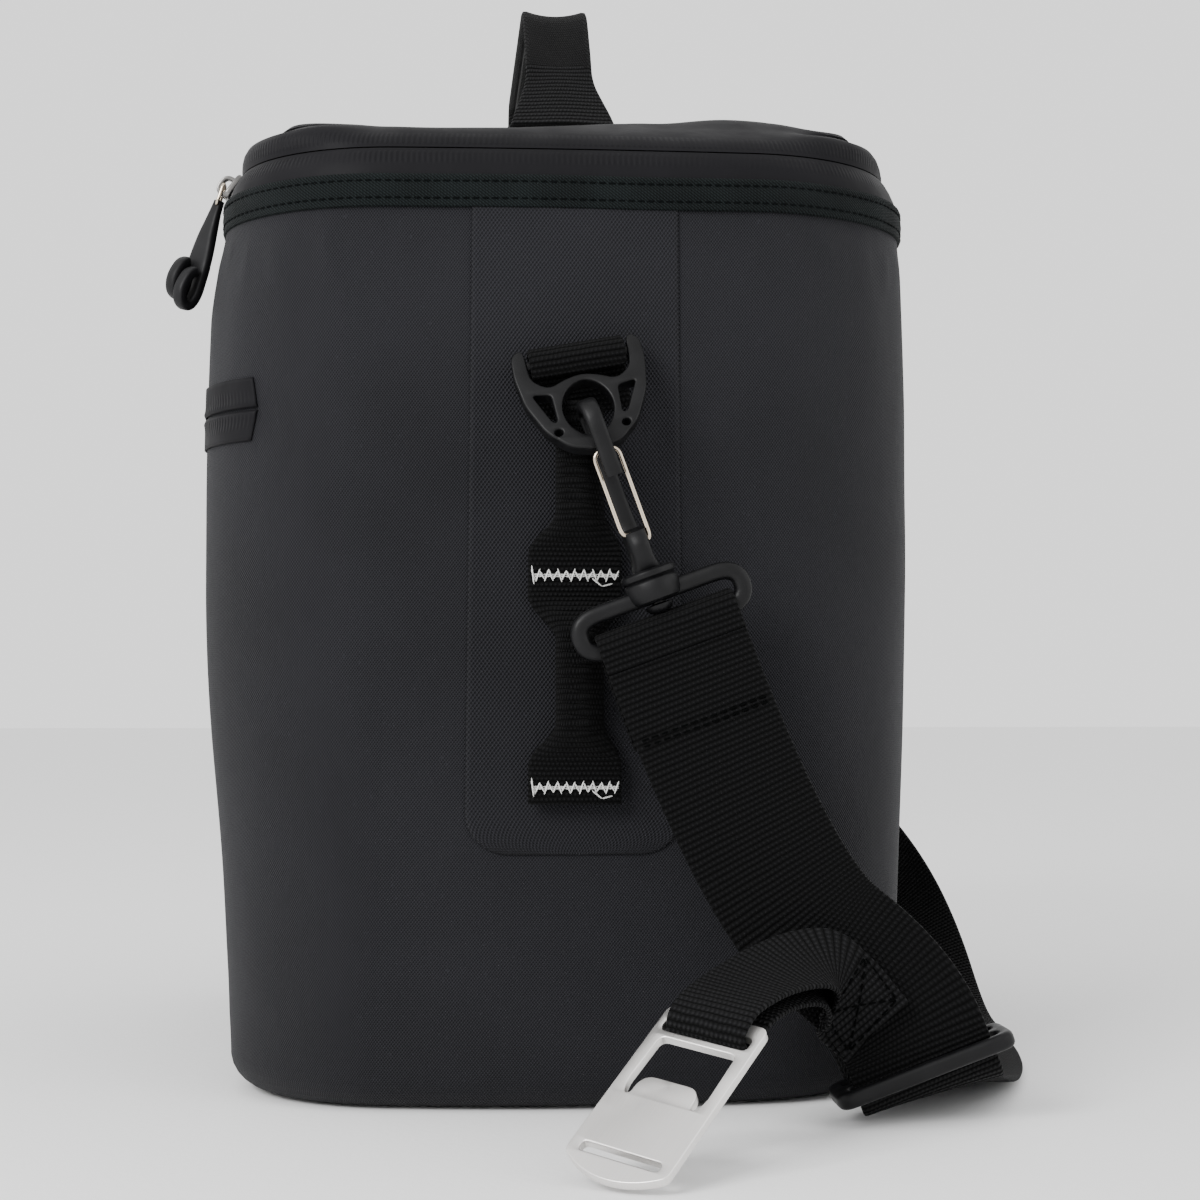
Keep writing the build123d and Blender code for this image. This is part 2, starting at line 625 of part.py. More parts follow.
def strap_pieces(solids):
    solids["near_strap_fold"] = strap_fold()
    solids["far_strap_fold"] = mirrored(solids["near_strap_fold"])
    solids["tri_glide"] = tri_glide()
    solids["strap_end_loop"] = strap_end_loop()
    solids["bottle_opener"] = opener()
    solids["strap_tab"] = strap_tab()


def main():
    solids = {}
    walls(solids)
    trim(solids)
    lid(solids)
    handle(solids)
    zip_parts(solids)
    end_hardware(solids)
    strap(solids)
    strap_pieces(solids)
    os.makedirs("parts", exist_ok=True)
    for name, shape in solids.items():
        export_step(shape, f"parts/{name}.step")


main()
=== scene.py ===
import json
import math

import bmesh
import bpy
import numpy as np
from mathutils import Matrix, Vector, noise

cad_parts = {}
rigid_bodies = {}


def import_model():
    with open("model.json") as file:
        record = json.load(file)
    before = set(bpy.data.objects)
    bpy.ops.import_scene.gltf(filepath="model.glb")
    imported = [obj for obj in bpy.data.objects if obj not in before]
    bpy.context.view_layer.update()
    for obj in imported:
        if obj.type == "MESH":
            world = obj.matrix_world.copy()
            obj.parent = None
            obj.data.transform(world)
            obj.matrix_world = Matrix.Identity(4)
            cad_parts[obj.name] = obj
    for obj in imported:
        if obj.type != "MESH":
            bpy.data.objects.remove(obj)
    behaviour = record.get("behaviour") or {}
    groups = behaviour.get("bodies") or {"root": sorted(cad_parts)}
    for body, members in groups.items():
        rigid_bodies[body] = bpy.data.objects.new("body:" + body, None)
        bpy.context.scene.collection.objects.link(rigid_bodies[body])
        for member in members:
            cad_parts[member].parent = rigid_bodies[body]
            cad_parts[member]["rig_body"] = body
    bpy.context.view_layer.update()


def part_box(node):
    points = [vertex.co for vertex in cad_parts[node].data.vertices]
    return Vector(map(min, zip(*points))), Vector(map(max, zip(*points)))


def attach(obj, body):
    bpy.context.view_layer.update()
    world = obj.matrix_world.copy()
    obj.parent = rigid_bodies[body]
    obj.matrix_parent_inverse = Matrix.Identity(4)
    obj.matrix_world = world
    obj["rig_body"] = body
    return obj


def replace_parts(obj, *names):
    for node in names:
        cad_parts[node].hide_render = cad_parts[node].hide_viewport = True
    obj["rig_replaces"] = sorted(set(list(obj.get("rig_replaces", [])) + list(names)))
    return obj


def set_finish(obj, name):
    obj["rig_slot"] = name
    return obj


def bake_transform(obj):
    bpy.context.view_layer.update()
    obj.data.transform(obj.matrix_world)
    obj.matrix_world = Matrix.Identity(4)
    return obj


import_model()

# Shapes are worked out in millimetres, in the CAD's frame, and become metres when a mesh is made.
# Camera, nodes and the strap's route are in metres. "near" is the -Y end, "far" the +Y end.
MM = 0.001

# Camera
CAMERA_AT = (-0.0390, -0.7450, 0.1117)
CAMERA_PAN = math.radians(4.35)
CAMERA_TILT = math.radians(2.28)
LENS = 67.75

# Strap: the CAD's route and the way its width points
STRAP_ROUTE = [
    (0.0229, -0.1657, 0.1277), (0.0480, -0.1657, 0.0590), (0.0820, -0.1657, 0.0330),
    (0.0916, -0.1672, 0.0070), (0.0945, -0.1480, 0.0066), (0.1090, -0.1120, 0.0022),
    (0.1200, -0.0740, 0.0012), (0.1260, -0.0320, 0.0013), (0.1290, 0.0100, 0.0032),
    (0.1310, 0.0480, 0.0200), (0.1290, 0.0860, 0.0450), (0.1170, 0.1220, 0.0650),
    (0.0900, 0.1520, 0.0730), (0.0560, 0.1650, 0.0820), (0.0335, 0.1657, 0.1010),
    (0.0229, 0.1657, 0.1277),
]
STRAP_ACROSS = [
    (-0.94, 0, -0.34), (-0.94, 0, -0.34), (-0.94, 0, -0.34), (-0.94, 0, -0.34),
    (-0.96, 0.2, -0.16), (-0.96, 0.27, 0), (-0.97, 0.23, 0), (-0.98, 0.15, 0),
    (-1, 0.1, -0.05), (-0.8, 0, -0.5), (-0.25, 0, -1), (0, 0, -1),
    (0, 0, -1), (-0.3, 0, -1), (-0.9, 0, -0.4), (-0.94, 0, -0.34),
]
STRAP_WIDTH = 38.0
STRAP_PLY = 1.6
STRAP_STEP = 1.6

# Sewing
STITCH = 2.6
STITCH_SHARE = 0.72
STITCH_R = 0.28
BOX_STITCH = ((0, 1), (1, 2), (2, 3), (3, 0), (0, 2), (1, 3))

# Bag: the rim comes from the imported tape, the rest are the CAD's driving sizes
TAPE_THICK = 1.2
tape_low, tape_high = (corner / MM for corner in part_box("rim_tape"))
RIM_Z = tape_high.z
RIM_X = tape_high.x - TAPE_THICK
RIM_Y = tape_high.y - TAPE_THICK
TAPE_LOW_Z = tape_low.z
BASE_X = 96.0
BASE_Y = 143.0
CORNER_R = 50.0
SIDE_BOW = 3.0
RIM_END_BOW = 4.0
BASE_END_BOW = 14.0
BASE_EDGE_R = 10.0
BELLY = 3.6
FRONT_BELLY = 3.3
WALL = 10.8
FLOOR_Z = 11.0
SLIT_Z = 257.5
SLIT_INSET = 4.0
LID_FLAT_Z = 270.0
LID_FLAT_INSET = 33.0
LID_UNDER_Z = 259.2
STEPS_SIDE, STEPS_CORNER, STEPS_END = 56, 44, 40

# Pocket and patch
POCKET_Z = 188.0
POCKET_FILM_HALF = 8.6
POCKET_FILM_END = 89.0
PATCH_HALF = 27.5
PATCH_LOW_Z = 68.0
PATCH_CORNER_R = 11.0

# Zip sliders and pulls
MAIN_SLIDER_Y = -81.0
MAIN_PIN_X = -4.6
POCKET_SLIDER_Y = 45.0
POCKET_PIN_X = -3.2
ZIP_STOP_Y = 84.0
SLIDER_LEAN = math.radians(35.0)
PULL_SWING = math.radians(17.0)
PULL_TWIST = math.radians(48.0)

# End hardware
DRING_AT = (0.0, -151.5, 199.0)
DRING_ROLL = math.radians(-10.0)
DRING_LEAN = math.radians(-26.0)
HOOK_AT = (18.6, -162.0, 139.6)
HOOK_TILT = math.radians(-20.0)
TACK_Z = (142.0, 86.0)
DAISY_TOP_Z = 185.5
DAISY_WIDTH = 25.0
PANEL_Y = -146.8
EYE_HALF = 22.4
EYE_ARM_Z = -3.2
EYE_BAR_Z = -12.9

# What the strap carries
SLIDER_AT = (91.3, -165.7, 8.2)
SLIDER_ABOVE_FOLD = 6.2
OPENER_AT = (29.4, -208.0, 31.8)
OPENER_ACROSS = (0.769, -0.625, -0.130)
OPENER_NORMAL = (-0.297, -0.530, 0.795)
OPENER_HALF = 14.0
OPENER_TOP = 2.2
OPENER_LENGTH = 53.0
TAB_WIDTH = 22.0
TAB_PLY = 1.5


# ---------------------------------------------------------------- materials

class Paint:
    """One Principled material and the few node helpers that every recipe below uses."""

    def __init__(self, name, colour, rough, specular=0.5, metallic=0.0, sheen=0.0, anisotropy=0.0):
        self.material = bpy.data.materials.new(name)
        self.material.use_nodes = True
        self.tree = self.material.node_tree
        self.shader = self.tree.nodes["Principled BSDF"]
        self.set("Base Color", (*colour, 1.0))
        self.set("Roughness", rough)
        self.set("Specular IOR Level", specular)
        self.set("Metallic", metallic)
        self.set("Sheen Weight", sheen)
        self.set("Sheen Roughness", 0.6)
        self.set("Anisotropic", anisotropy)

    def set(self, socket, value):
        if isinstance(value, bpy.types.NodeSocket):
            self.tree.links.new(value, self.shader.inputs[socket])
        else:
            self.shader.inputs[socket].default_value = value

    def node(self, kind, values=(), **settings):
        made = self.tree.nodes.new(kind)
        for key, value in settings.items():
            setattr(made, key, value)
        for place, value in enumerate(values):
            if isinstance(value, bpy.types.NodeSocket):
                self.tree.links.new(value, made.inputs[place])
            elif value is not None:
                made.inputs[place].default_value = value
        return made

    def math(self, operation, *values):
        return self.node("ShaderNodeMath", values, operation=operation).outputs[0]

    def uv(self):
        """Cloth coordinates in metres: across or round the piece, and along or up it."""
        split = self.node("ShaderNodeSeparateXYZ", [self.node("ShaderNodeUVMap", uv_map="cloth").outputs[0]])
        return split.outputs[0], split.outputs[1]

    def place(self):
        return self.node("ShaderNodeTexCoord").outputs["Object"]

    def wave(self, coordinate, pitch):
        return self.math("SINE", self.math("MULTIPLY", coordinate, 2 * math.pi / pitch))

    def noise(self, scale, detail=3.0, vector=None):
        texture = self.node("ShaderNodeTexNoise")
        texture.inputs["Scale"].default_value = scale
        texture.inputs["Detail"].default_value = detail
        self.tree.links.new(vector or self.place(), texture.inputs["Vector"])
        return texture.outputs[0]

    def spread(self, value, low, high, to_low, to_high):
        return self.node("ShaderNodeMapRange", [value, low, high, to_low, to_high]).outputs[0]

    def shade(self, factor, dark, light):
        """Base colour running from dark to light with factor."""
        mix = self.node("ShaderNodeMix", data_type="RGBA")
        self.tree.links.new(factor, mix.inputs["Factor"])
        ends = [socket for socket in mix.inputs if socket.type == "RGBA"]
        for socket, colour in zip(ends, (dark, light)):
            socket.default_value = (*colour, 1.0)
        self.set("Base Color", [socket for socket in mix.outputs if socket.type == "RGBA"][0])

    def bump(self, height, depth, under=None):
        made = self.node("ShaderNodeBump")
        made.inputs["Strength"].default_value = 1.0
        made.inputs["Distance"].default_value = depth
        self.tree.links.new(height, made.inputs["Height"])
        if under is not None:
            self.tree.links.new(under, made.inputs["Normal"])
        self.set("Normal", made.outputs[0])
        return made.outputs[0]


def scaled(colour, factor):
    return tuple(channel * factor for channel in colour)


def plain_weave(name, colour, pitch_across, pitch_up, depth, contrast):
    """Coated cloth: staggered dots of the weave, faint dust and soft large patches. The weave's height also
    sets the colour: painted highlight on the thread tops, painted shade between them.
    """
    p = Paint(name, colour, 0.62, specular=0.1, sheen=0.02)
    u, v = p.uv()
    dots = p.math("MULTIPLY", p.wave(u, pitch_across), p.wave(v, pitch_up))
    height = p.math("MULTIPLY_ADD", dots, 0.5, 0.5)
    patches = p.spread(p.noise(18.0, 4.0), 0.3, 0.7, -0.12, 0.12)
    fleck = p.spread(p.noise(900.0, 1.0), 0.70, 0.78, 0.0, 0.35)
    # Colour: painted highlight on the weave's high points and painted shade in its low points, plus random
    # patches and dust flecks
    tone = p.math("ADD", p.math("ADD", p.math("POWER", height, 0.6), patches), fleck)
    p.shade(tone, scaled(colour, 0.1), scaled(colour, contrast))
    p.bump(height, depth, p.bump(p.noise(160.0, 3.0), 0.0004))
    p.set("Roughness", p.spread(height, 0.0, 1.0, 0.75, 0.5))
    return p.material


def ribbed(name, colour, rib, strand, depth):
    """Webbing: ribs across it, each broken into strands that step over by half from rib to rib. The colour
    follows their height: painted highlight on the rib tops, painted shade in the gaps.
    """
    p = Paint(name, colour, 0.75, specular=0.07, sheen=0.01)
    u, v = p.uv()
    wobble = p.math("MULTIPLY", p.spread(p.noise(220.0, 2.0), 0.0, 1.0, -0.5, 0.5), 0.25 * rib)
    along = p.math("ADD", v, wobble)
    ridge = p.math("ABSOLUTE", p.wave(along, 2 * rib))
    row = p.math("FLOOR", p.math("DIVIDE", along, rib))
    stepped = p.math("ADD", u, p.math("MULTIPLY", row, 0.5 * strand))
    strands = p.math("MULTIPLY_ADD", p.wave(stepped, strand), 0.5, 0.5)
    height = p.math("MULTIPLY", ridge, p.math("MULTIPLY_ADD", strands, 0.45, 0.55))
    # Painted highlight on the rib and strand tops and painted shade in the gaps between them, from the same
    # height as the bump
    p.shade(p.math("POWER", height, 1.6), scaled(colour, 0.05), scaled(colour, 5.0))
    p.bump(height, depth, p.bump(p.noise(700.0, 2.0), 0.0001))
    p.set("Roughness", p.spread(height, 0.0, 1.0, 0.9, 0.6))
    return p.material


def twill(name, colour, pitch, depth, slant=1.0):
    """Fine diagonal ribs with the weft showing between them; the colour follows their height, painted
    highlight on the rib tops and painted shade between them.
    """
    p = Paint(name, colour, 0.75, specular=0.08, sheen=0.01)
    u, v = p.uv()
    diagonal = p.math("ADD", u, p.math("MULTIPLY", v, slant))
    ridge = p.math("ABSOLUTE", p.wave(diagonal, 2 * pitch))
    weft = p.math("MULTIPLY_ADD", p.wave(v, pitch), 0.2, 0.8)
    height = p.math("MULTIPLY", ridge, weft)
    patches = p.spread(p.noise(60.0, 3.0), 0.3, 0.7, -0.15, 0.15)
    # Painted highlight on the ribs and painted shade between them, with random patches
    p.shade(p.math("ADD", height, patches), scaled(colour, 0.08), scaled(colour, 1.9))
    p.bump(height, depth, p.bump(p.noise(300.0, 2.0), 0.00015))
    return p.material


def zip_film(name, colour):
    """Smooth film over a coil zip: rows of small ripples each side of the slit at v = 0."""
    p = Paint(name, colour, 0.55, specular=0.07)
    u, v = p.uv()
    away = p.math("ABSOLUTE", v)
    rising = p.spread(away, 0.0010, 0.0020, 0.0, 1.0)
    falling = p.spread(away, 0.0042, 0.0058, 1.0, 0.0)
    fade = p.spread(p.noise(35.0, 2.0), 0.35, 0.6, 0.25, 1.0)
    window = p.math("MULTIPLY", p.math("MULTIPLY", rising, falling), fade)
    ripple = p.math("MULTIPLY", p.math("MULTIPLY_ADD", p.wave(u, 0.0015), 0.5, 0.5), window)
    clouds = p.spread(p.noise(28.0, 4.0), 0.3, 0.7, 0.0, 1.0)
    p.shade(clouds, scaled(colour, 0.86), scaled(colour, 1.12))
    p.bump(ripple, 0.00022, p.bump(p.noise(420.0, 3.0), 0.00006, p.bump(p.noise(45.0, 2.0), 0.0006)))
    p.set("Roughness", p.spread(p.noise(70.0, 4.0), 0.3, 0.7, 0.48, 0.62))
    return p.material


def moulded(name, colour, rough, grain, specular=0.5):
    """Moulded plastic or rubber: fine grain, faint flow marks and rubbed patches."""
    p = Paint(name, colour, rough, specular=specular)
    rubbed = p.spread(p.noise(130.0, 5.0), 0.35, 0.75, 0.0, 1.0)
    p.shade(rubbed, scaled(colour, 0.8), scaled(colour, 1.5))
    p.bump(p.noise(2200.0, 2.0), grain, p.bump(p.noise(90.0, 2.0), 0.00018))
    p.set("Roughness", p.spread(p.noise(240.0, 4.0), 0.3, 0.7, rough - 0.08, rough + 0.1))
    return p.material


def metal(name, colour, rough, brushed):
    """Metal with fine scratches; brushed metal has them all along its length."""
    p = Paint(name, colour, rough, metallic=1.0, anisotropy=0.5 if brushed else 0.0)
    if brushed:
        across, along = p.uv()
        lines = p.node("ShaderNodeCombineXYZ", [p.math("MULTIPLY", across, 60.0), along, 0.0]).outputs[0]
        grain = p.noise(90.0, 4.0, lines)
        smudges = p.noise(60.0, 4.0)
        p.bump(grain, 0.00003, p.bump(smudges, 0.00005))
        p.set("Roughness", p.spread(smudges, 0.3, 0.7, rough - 0.06, rough + 0.08))
        p.shade(grain, scaled(colour, 0.9), scaled(colour, 1.06))
    else:
        grain = p.noise(900.0, 3.0)
        p.bump(grain, 0.00002)
        p.shade(p.noise(300.0, 4.0), scaled(colour, 0.82), scaled(colour, 1.1))
        p.set("Roughness", p.spread(grain, 0.3, 0.7, rough - 0.05, rough + 0.1))
    return p.material


def thread(name, colour, specular):
    """Twisted sewing thread, with painted shade in the grooves of its twist and painted highlight on its
    crests.
    """
    p = Paint(name, colour, 0.75, specular=specular)
    u, v = p.uv()
    twist = p.wave(p.math("ADD", u, v), 0.0005)
    height = p.math("MULTIPLY_ADD", twist, 0.5, 0.5)
    # Painted shade in the twist's grooves and painted highlight on its crests
    p.shade(height, scaled(colour, 0.6), scaled(colour, 1.1))
    p.bump(height, 0.00008)
    return p.material


SHELL_TONE = (0.0088, 0.0088, 0.0108)
MATERIALS = {
    "shell_fabric": plain_weave("shell_cloth", SHELL_TONE, 0.00078, 0.00106, 0.00030, 1.6),
    "patch_fabric": plain_weave("patch_cloth", scaled(SHELL_TONE, 0.9), 0.00100, 0.00140, 0.00050, 1.9),
    "liner_film": zip_film("lining_film", (0.20, 0.205, 0.21)),
    "zip_film": zip_film("zip_film", (0.0058, 0.0056, 0.0066)),
    "binding_tape": twill("binding_grosgrain", (0.0040, 0.0058, 0.0060), 0.00085, 0.00040, 0.8),
    "webbing": ribbed("strap_webbing", (0.0009, 0.0009, 0.0010), 0.0015, 0.0012, 0.00080),
    "grip_webbing": twill("grip_twill", (0.0032, 0.0032, 0.0034), 0.00110, 0.00045, 0.6),
    "white_thread": thread("white_thread", (0.72, 0.72, 0.70), 0.3),
    "nickel_wire": metal("nickel_wire", (0.58, 0.50, 0.40), 0.16, False),
    "nickel_slider": metal("nickel_slider", (0.17, 0.165, 0.16), 0.30, False),
    "rubber_pull": moulded("rubber_pull", (0.0046, 0.0046, 0.0052), 0.5, 0.00002, 0.18),
    "moulded_plastic": moulded("moulded_plastic", (0.0030, 0.0030, 0.0034), 0.42, 0.00003, 0.18),
    "stainless_steel": metal("brushed_steel", (0.82, 0.80, 0.78), 0.32, True),
}
FINE_WEBBING = ribbed("daisy_webbing", (0.0008, 0.0008, 0.0009), 0.00135, 0.0012, 0.00085)
FOOT_WEBBING = ribbed("handle_webbing", (0.0021, 0.0021, 0.0023), 0.00165, 0.0013, 0.00100)
DARK_THREAD = thread("black_thread", (0.0010, 0.0012, 0.0012), 0.03)
TAPE_THREAD = thread("tape_thread", (0.0020, 0.0028, 0.0030), 0.05)


# ---------------------------------------------------------------- mesh helpers

def unit(vectors):
    return vectors / np.maximum(np.linalg.norm(vectors, axis=-1, keepdims=True), 1e-12)


def fade(value, low, high):
    """0 below low, 1 above high, smooth between; high may be the lower one."""
    t = np.clip((np.asarray(value, float) - low) / (high - low), 0.0, 1.0)
    return t * t * (3 - 2 * t)


def hill(value, centre, width):
    return np.exp(-((np.asarray(value, float) - centre) / width) ** 2)


def add_piece(name, points, faces, face_uvs, body, slot, material=None, replaces=(), sharp=40.0):
    """A mesh from points in millimetres, riding on a body, with its cloth coordinates in metres."""
    mesh = bpy.data.meshes.new(name)
    mesh.from_pydata((np.asarray(points, float) * MM).tolist(), [], faces)
    layer = mesh.uv_layers.new(name="cloth")
    layer.data.foreach_set("uv", (np.asarray(face_uvs, float) * MM).ravel())
    mesh.materials.append(material or MATERIALS[slot])
    work = bmesh.new()
    work.from_mesh(mesh)
    bmesh.ops.remove_doubles(work, verts=work.verts, dist=0.002 * MM)
    bmesh.ops.recalc_face_normals(work, faces=work.faces)
    work.to_mesh(mesh)
    work.free()
    mesh.shade_smooth()
    mesh.set_sharp_from_angle(angle=math.radians(sharp))
    piece = bpy.data.objects.new(name, mesh)
    bpy.context.scene.collection.objects.link(piece)
    if body:
        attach(piece, body)
    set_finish(piece, slot)
    if replaces:
        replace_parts(piece, *replaces)
    return piece


def grid_faces(rows, columns, wrap_rows, wrap_columns):
    faces = []
    for r in range(rows if wrap_rows else rows - 1):
        below, above = r * columns, ((r + 1) % rows) * columns
        for c in range(columns if wrap_columns else columns - 1):
            nxt = (c + 1) % columns
            faces.append((below + c, below + nxt, above + nxt, above + c))
    return faces


def add_grid(name, points, u, v, body, slot, wrap_rows=False, wrap_columns=False, caps=False, **options):
    """A grid of points, rows by columns. u and v give each column's and row's cloth coordinate;
    they are one longer than the grid where it wraps."""
    points = np.asarray(points, float)
    rows, columns = points.shape[:2]
    faces = grid_faces(rows, columns, wrap_rows, wrap_columns)
    u = np.asarray(u, float)
    v = np.asarray(v, float)
    uvs = []
    for r in range(rows if wrap_rows else rows - 1):
        for c in range(columns if wrap_columns else columns - 1):
            uvs += [(u[c], v[r]), (u[c + 1], v[r]), (u[c + 1], v[r + 1]), (u[c], v[r + 1])]
    if caps:
        last = (rows - 1) * columns
        faces.append(tuple(reversed(range(columns))))
        faces.append(tuple(last + c for c in range(columns)))
        uvs += [(u[c], v[0]) for c in reversed(range(columns))]
        uvs += [(u[c], v[rows - 1]) for c in range(columns)]
    return add_piece(name, points.reshape(-1, 3), faces, uvs, body, slot, **options)


def run_lengths(points):
    """Distance along a line of points, at each of them."""
    return np.concatenate([[0.0], np.cumsum(np.linalg.norm(np.diff(points, axis=0), axis=1))])


def at_distance(points, lengths, at):
    """Points at given distances along a line."""
    return np.stack([np.interp(at, lengths, points[:, k]) for k in range(points.shape[1])], -1)


def path_frames(centres, across, closed):
    """Across and up directions at each point of a path, square to the path."""
    if closed:
        along = unit(np.roll(centres, -1, 0) - np.roll(centres, 1, 0))
    else:
        along = unit(np.gradient(centres, axis=0))
    across = np.broadcast_to(np.asarray(across, float), centres.shape)
    across = unit(across - (across * along).sum(1, keepdims=True) * along)
    return across, np.cross(along, across)


def sweep(name, centres, across, section, body, slot, closed=False, place=None, **options):
    """A section of (across, up) points carried along a path. It may be one section or one per point."""
    centres = np.asarray(centres, float)
    side, up = path_frames(centres, across, closed)
    section = np.broadcast_to(np.asarray(section, float), (len(centres), *np.shape(section)[-2:]))
    points = (centres[:, None] + section[..., :1] * side[:, None] + section[..., 1:] * up[:, None])
    if place is not None:
        points = moved(points, place)
    v = run_lengths(centres)
    if closed:
        v = np.append(v, v[-1] + np.linalg.norm(centres[0] - centres[-1]))
    u = np.append(section[0][:, 0], section[0][0, 0])
    return add_grid(name, points, u, v, body, slot, wrap_rows=closed, wrap_columns=True,
                    caps=not closed, **options)


def moved(points, place):
    """Points carried by a 4x4 matrix in millimetres."""
    matrix = np.array(place)
    return points @ matrix[:3, :3].T + matrix[:3, 3]


def strip_section(width, thick, steps=10):
    """Flat webbing's section, with round edges."""
    half = width / 2
    across = np.linspace(-half + thick / 2, half - thick / 2, steps)
    turn = np.linspace(math.pi / 2, -math.pi / 2, 5)[1:-1]
    right = [(half - thick / 2 + math.cos(a) * thick / 2, math.sin(a) * thick / 2) for a in turn]
    top = [(a, thick / 2) for a in across]
    bottom = [(-a, -thick / 2) for a in across]
    left = [(-x, -y) for x, y in right]
    return np.array(top + right + bottom + left)


def oval_section(half_across, half_up, steps=16, power=1.0):
    """Round section, or a soft-cornered square one where power is below 1."""
    angle = np.linspace(0, 2 * math.pi, steps, endpoint=False)
    cos, sin = np.cos(angle), np.sin(angle)
    shaped = [np.sign(f) * np.abs(f) ** power for f in (cos, sin)]
    return np.stack([half_across * shaped[0], half_up * shaped[1]], 1)


def soft_path(points, reach, steps=7, step=1.5, closed=False):
    """A run of straight lines with its corners rounded off over a given reach."""
    points = [np.asarray(p, float) for p in points]
    count = len(points)
    made = []
    for index, corner in enumerate(points):
        if not closed and index in (0, count - 1):
            made.append(corner)
            continue
        before, after = points[index - 1], points[(index + 1) % count]
        first = corner + unit(before - corner) * min(reach, np.linalg.norm(before - corner) * 0.49)
        last = corner + unit(after - corner) * min(reach, np.linalg.norm(after - corner) * 0.49)
        for t in np.linspace(0, 1, steps):
            made.append((1 - t) ** 2 * first + 2 * t * (1 - t) * corner + t * t * last)
    return resampled(np.array(made), step, closed)


def resampled(points, step, closed=False):
    """Points at about equal steps along a line."""
    if closed:
        points = np.vstack([points, points[:1]])
    lengths = run_lengths(points)
    count = max(int(round(lengths[-1] / step)), 3)
    at = np.linspace(0, lengths[-1], count + 1)
    if closed:
        at = at[:-1]
    return at_distance(points, lengths, at)


def add_plate(name, loops, thick, edge, place, body, slot, replaces=()):
    """A flat part with holes and rounded edges: closed loops of (x, y), the outer one first."""
    curve = bpy.data.curves.new(name + "_outline", "CURVE")
    curve.dimensions = "2D"
    curve.fill_mode = "BOTH"
    curve.extrude = thick / 2 - edge
    curve.bevel_depth = edge
    curve.bevel_resolution = 3
    curve.offset = -edge
    for loop in loops:
        spline = curve.splines.new("POLY")
        spline.points.add(len(loop) - 1)
        for point, (x, y) in zip(spline.points, loop):
            point.co = (x, y, 0.0, 1.0)
        spline.use_cyclic_u = True
    holder = bpy.data.objects.new(name + "_outline", curve)
    mesh = bpy.data.meshes.new_from_object(holder)
    points = moved(np.array([v.co for v in mesh.vertices]), place)
    flat = np.array([v.co for v in mesh.vertices])[:, :2]
    faces = [tuple(face.vertices) for face in mesh.polygons]
    uvs = [flat[index] for face in faces for index in face]
    bpy.data.objects.remove(holder)
    bpy.data.curves.remove(curve)
    bpy.data.meshes.remove(mesh)
    return add_piece(name, points, faces, uvs, body, slot, replaces=replaces, sharp=35.0)


def rounded_loop(points, reach, step=0.6):
    return soft_path(points, reach, closed=True, step=step)


def add_lathe(name, profile, place, body, slot, steps=40, replaces=()):
    """A turned part from (radius, height) points."""
    angle = np.linspace(0, 2 * math.pi, steps, endpoint=False)
    radius, height = np.array(profile, float).T
    points = np.stack([radius[:, None] * np.cos(angle), radius[:, None] * np.sin(angle),
                       np.repeat(height[:, None], steps, 1)], -1)
    u = np.linspace(0, 2 * math.pi, steps + 1) * radius.max()
    v = np.concatenate([[0.0], np.cumsum(np.hypot(np.diff(radius), np.diff(height)))])
    return add_grid(name, moved(points, place), u, v, body, slot, wrap_columns=True, caps=True,
                    replaces=replaces, sharp=35.0)


def add_stitches(name, starts, ends, radius, body, slot, material):
    """Many short threads, each a small spindle from its start to its end."""
    starts, ends = np.asarray(starts, float), np.asarray(ends, float)
    shares = np.array([0.0, 0.12, 0.5, 0.88, 1.0])
    widths = np.array([0.25, 0.85, 1.0, 0.85, 0.25]) * radius
    angle = np.linspace(0, 2 * math.pi, 6, endpoint=False)
    along = unit(ends - starts)
    helper = np.where(np.abs(along[:, 2:]) < 0.8, [[0.0, 0.0, 1.0]], [[1.0, 0.0, 0.0]])
    side = unit(np.cross(along, helper))
    up = np.cross(along, side)
    points, faces, uvs = [], [], []
    for number in range(len(starts)):
        first = len(points)
        for share, width in zip(shares, widths):
            centre = starts[number] + (ends[number] - starts[number]) * share
            for a in angle:
                points.append(centre + width * (math.cos(a) * side[number] + math.sin(a) * up[number]))
        for face in grid_faces(len(shares), len(angle), False, True):
            faces.append(tuple(first + index for index in face))
            uvs += [(index % 6 * radius, shares[index // 6] * 2.0) for index in face]
        for ring in (range(5, -1, -1), range(24, 30)):
            faces.append(tuple(first + index for index in ring))
            uvs += [(0.0, 0.0)] * 6
    return add_piece(name, points, faces, uvs, body, slot, material=material)


def dashes(line, pitch, share=STITCH_SHARE):
    """Starts and ends of stitches along a line of points."""
    fine = resampled(np.asarray(line, float), pitch)
    step = fine[1:] - fine[:-1]
    return fine[:-1] + step * (1 - share) / 2, fine[:-1] + step * (1 + share) / 2


def thicken(piece, thickness, offset):
    solid = piece.modifiers.new("thickness", "SOLIDIFY")
    solid.thickness = thickness * MM
    solid.offset = offset


def add_far(piece):
    """The same piece on the far end, mirrored in Y."""
    name = piece.name.replace("near_", "far_")
    mesh = piece.data.copy()
    mesh.transform(Matrix.Diagonal((1, -1, 1, 1)))
    mesh.flip_normals()
    made = bpy.data.objects.new(name, mesh)
    bpy.context.scene.collection.objects.link(made)
    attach(made, piece["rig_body"].replace("near_", "far_"))
    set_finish(made, piece["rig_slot"])
    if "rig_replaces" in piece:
        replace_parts(made, *[node.replace("near_", "far_") for node in piece["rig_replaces"]])
    return made


# ---------------------------------------------------------------- bag outline

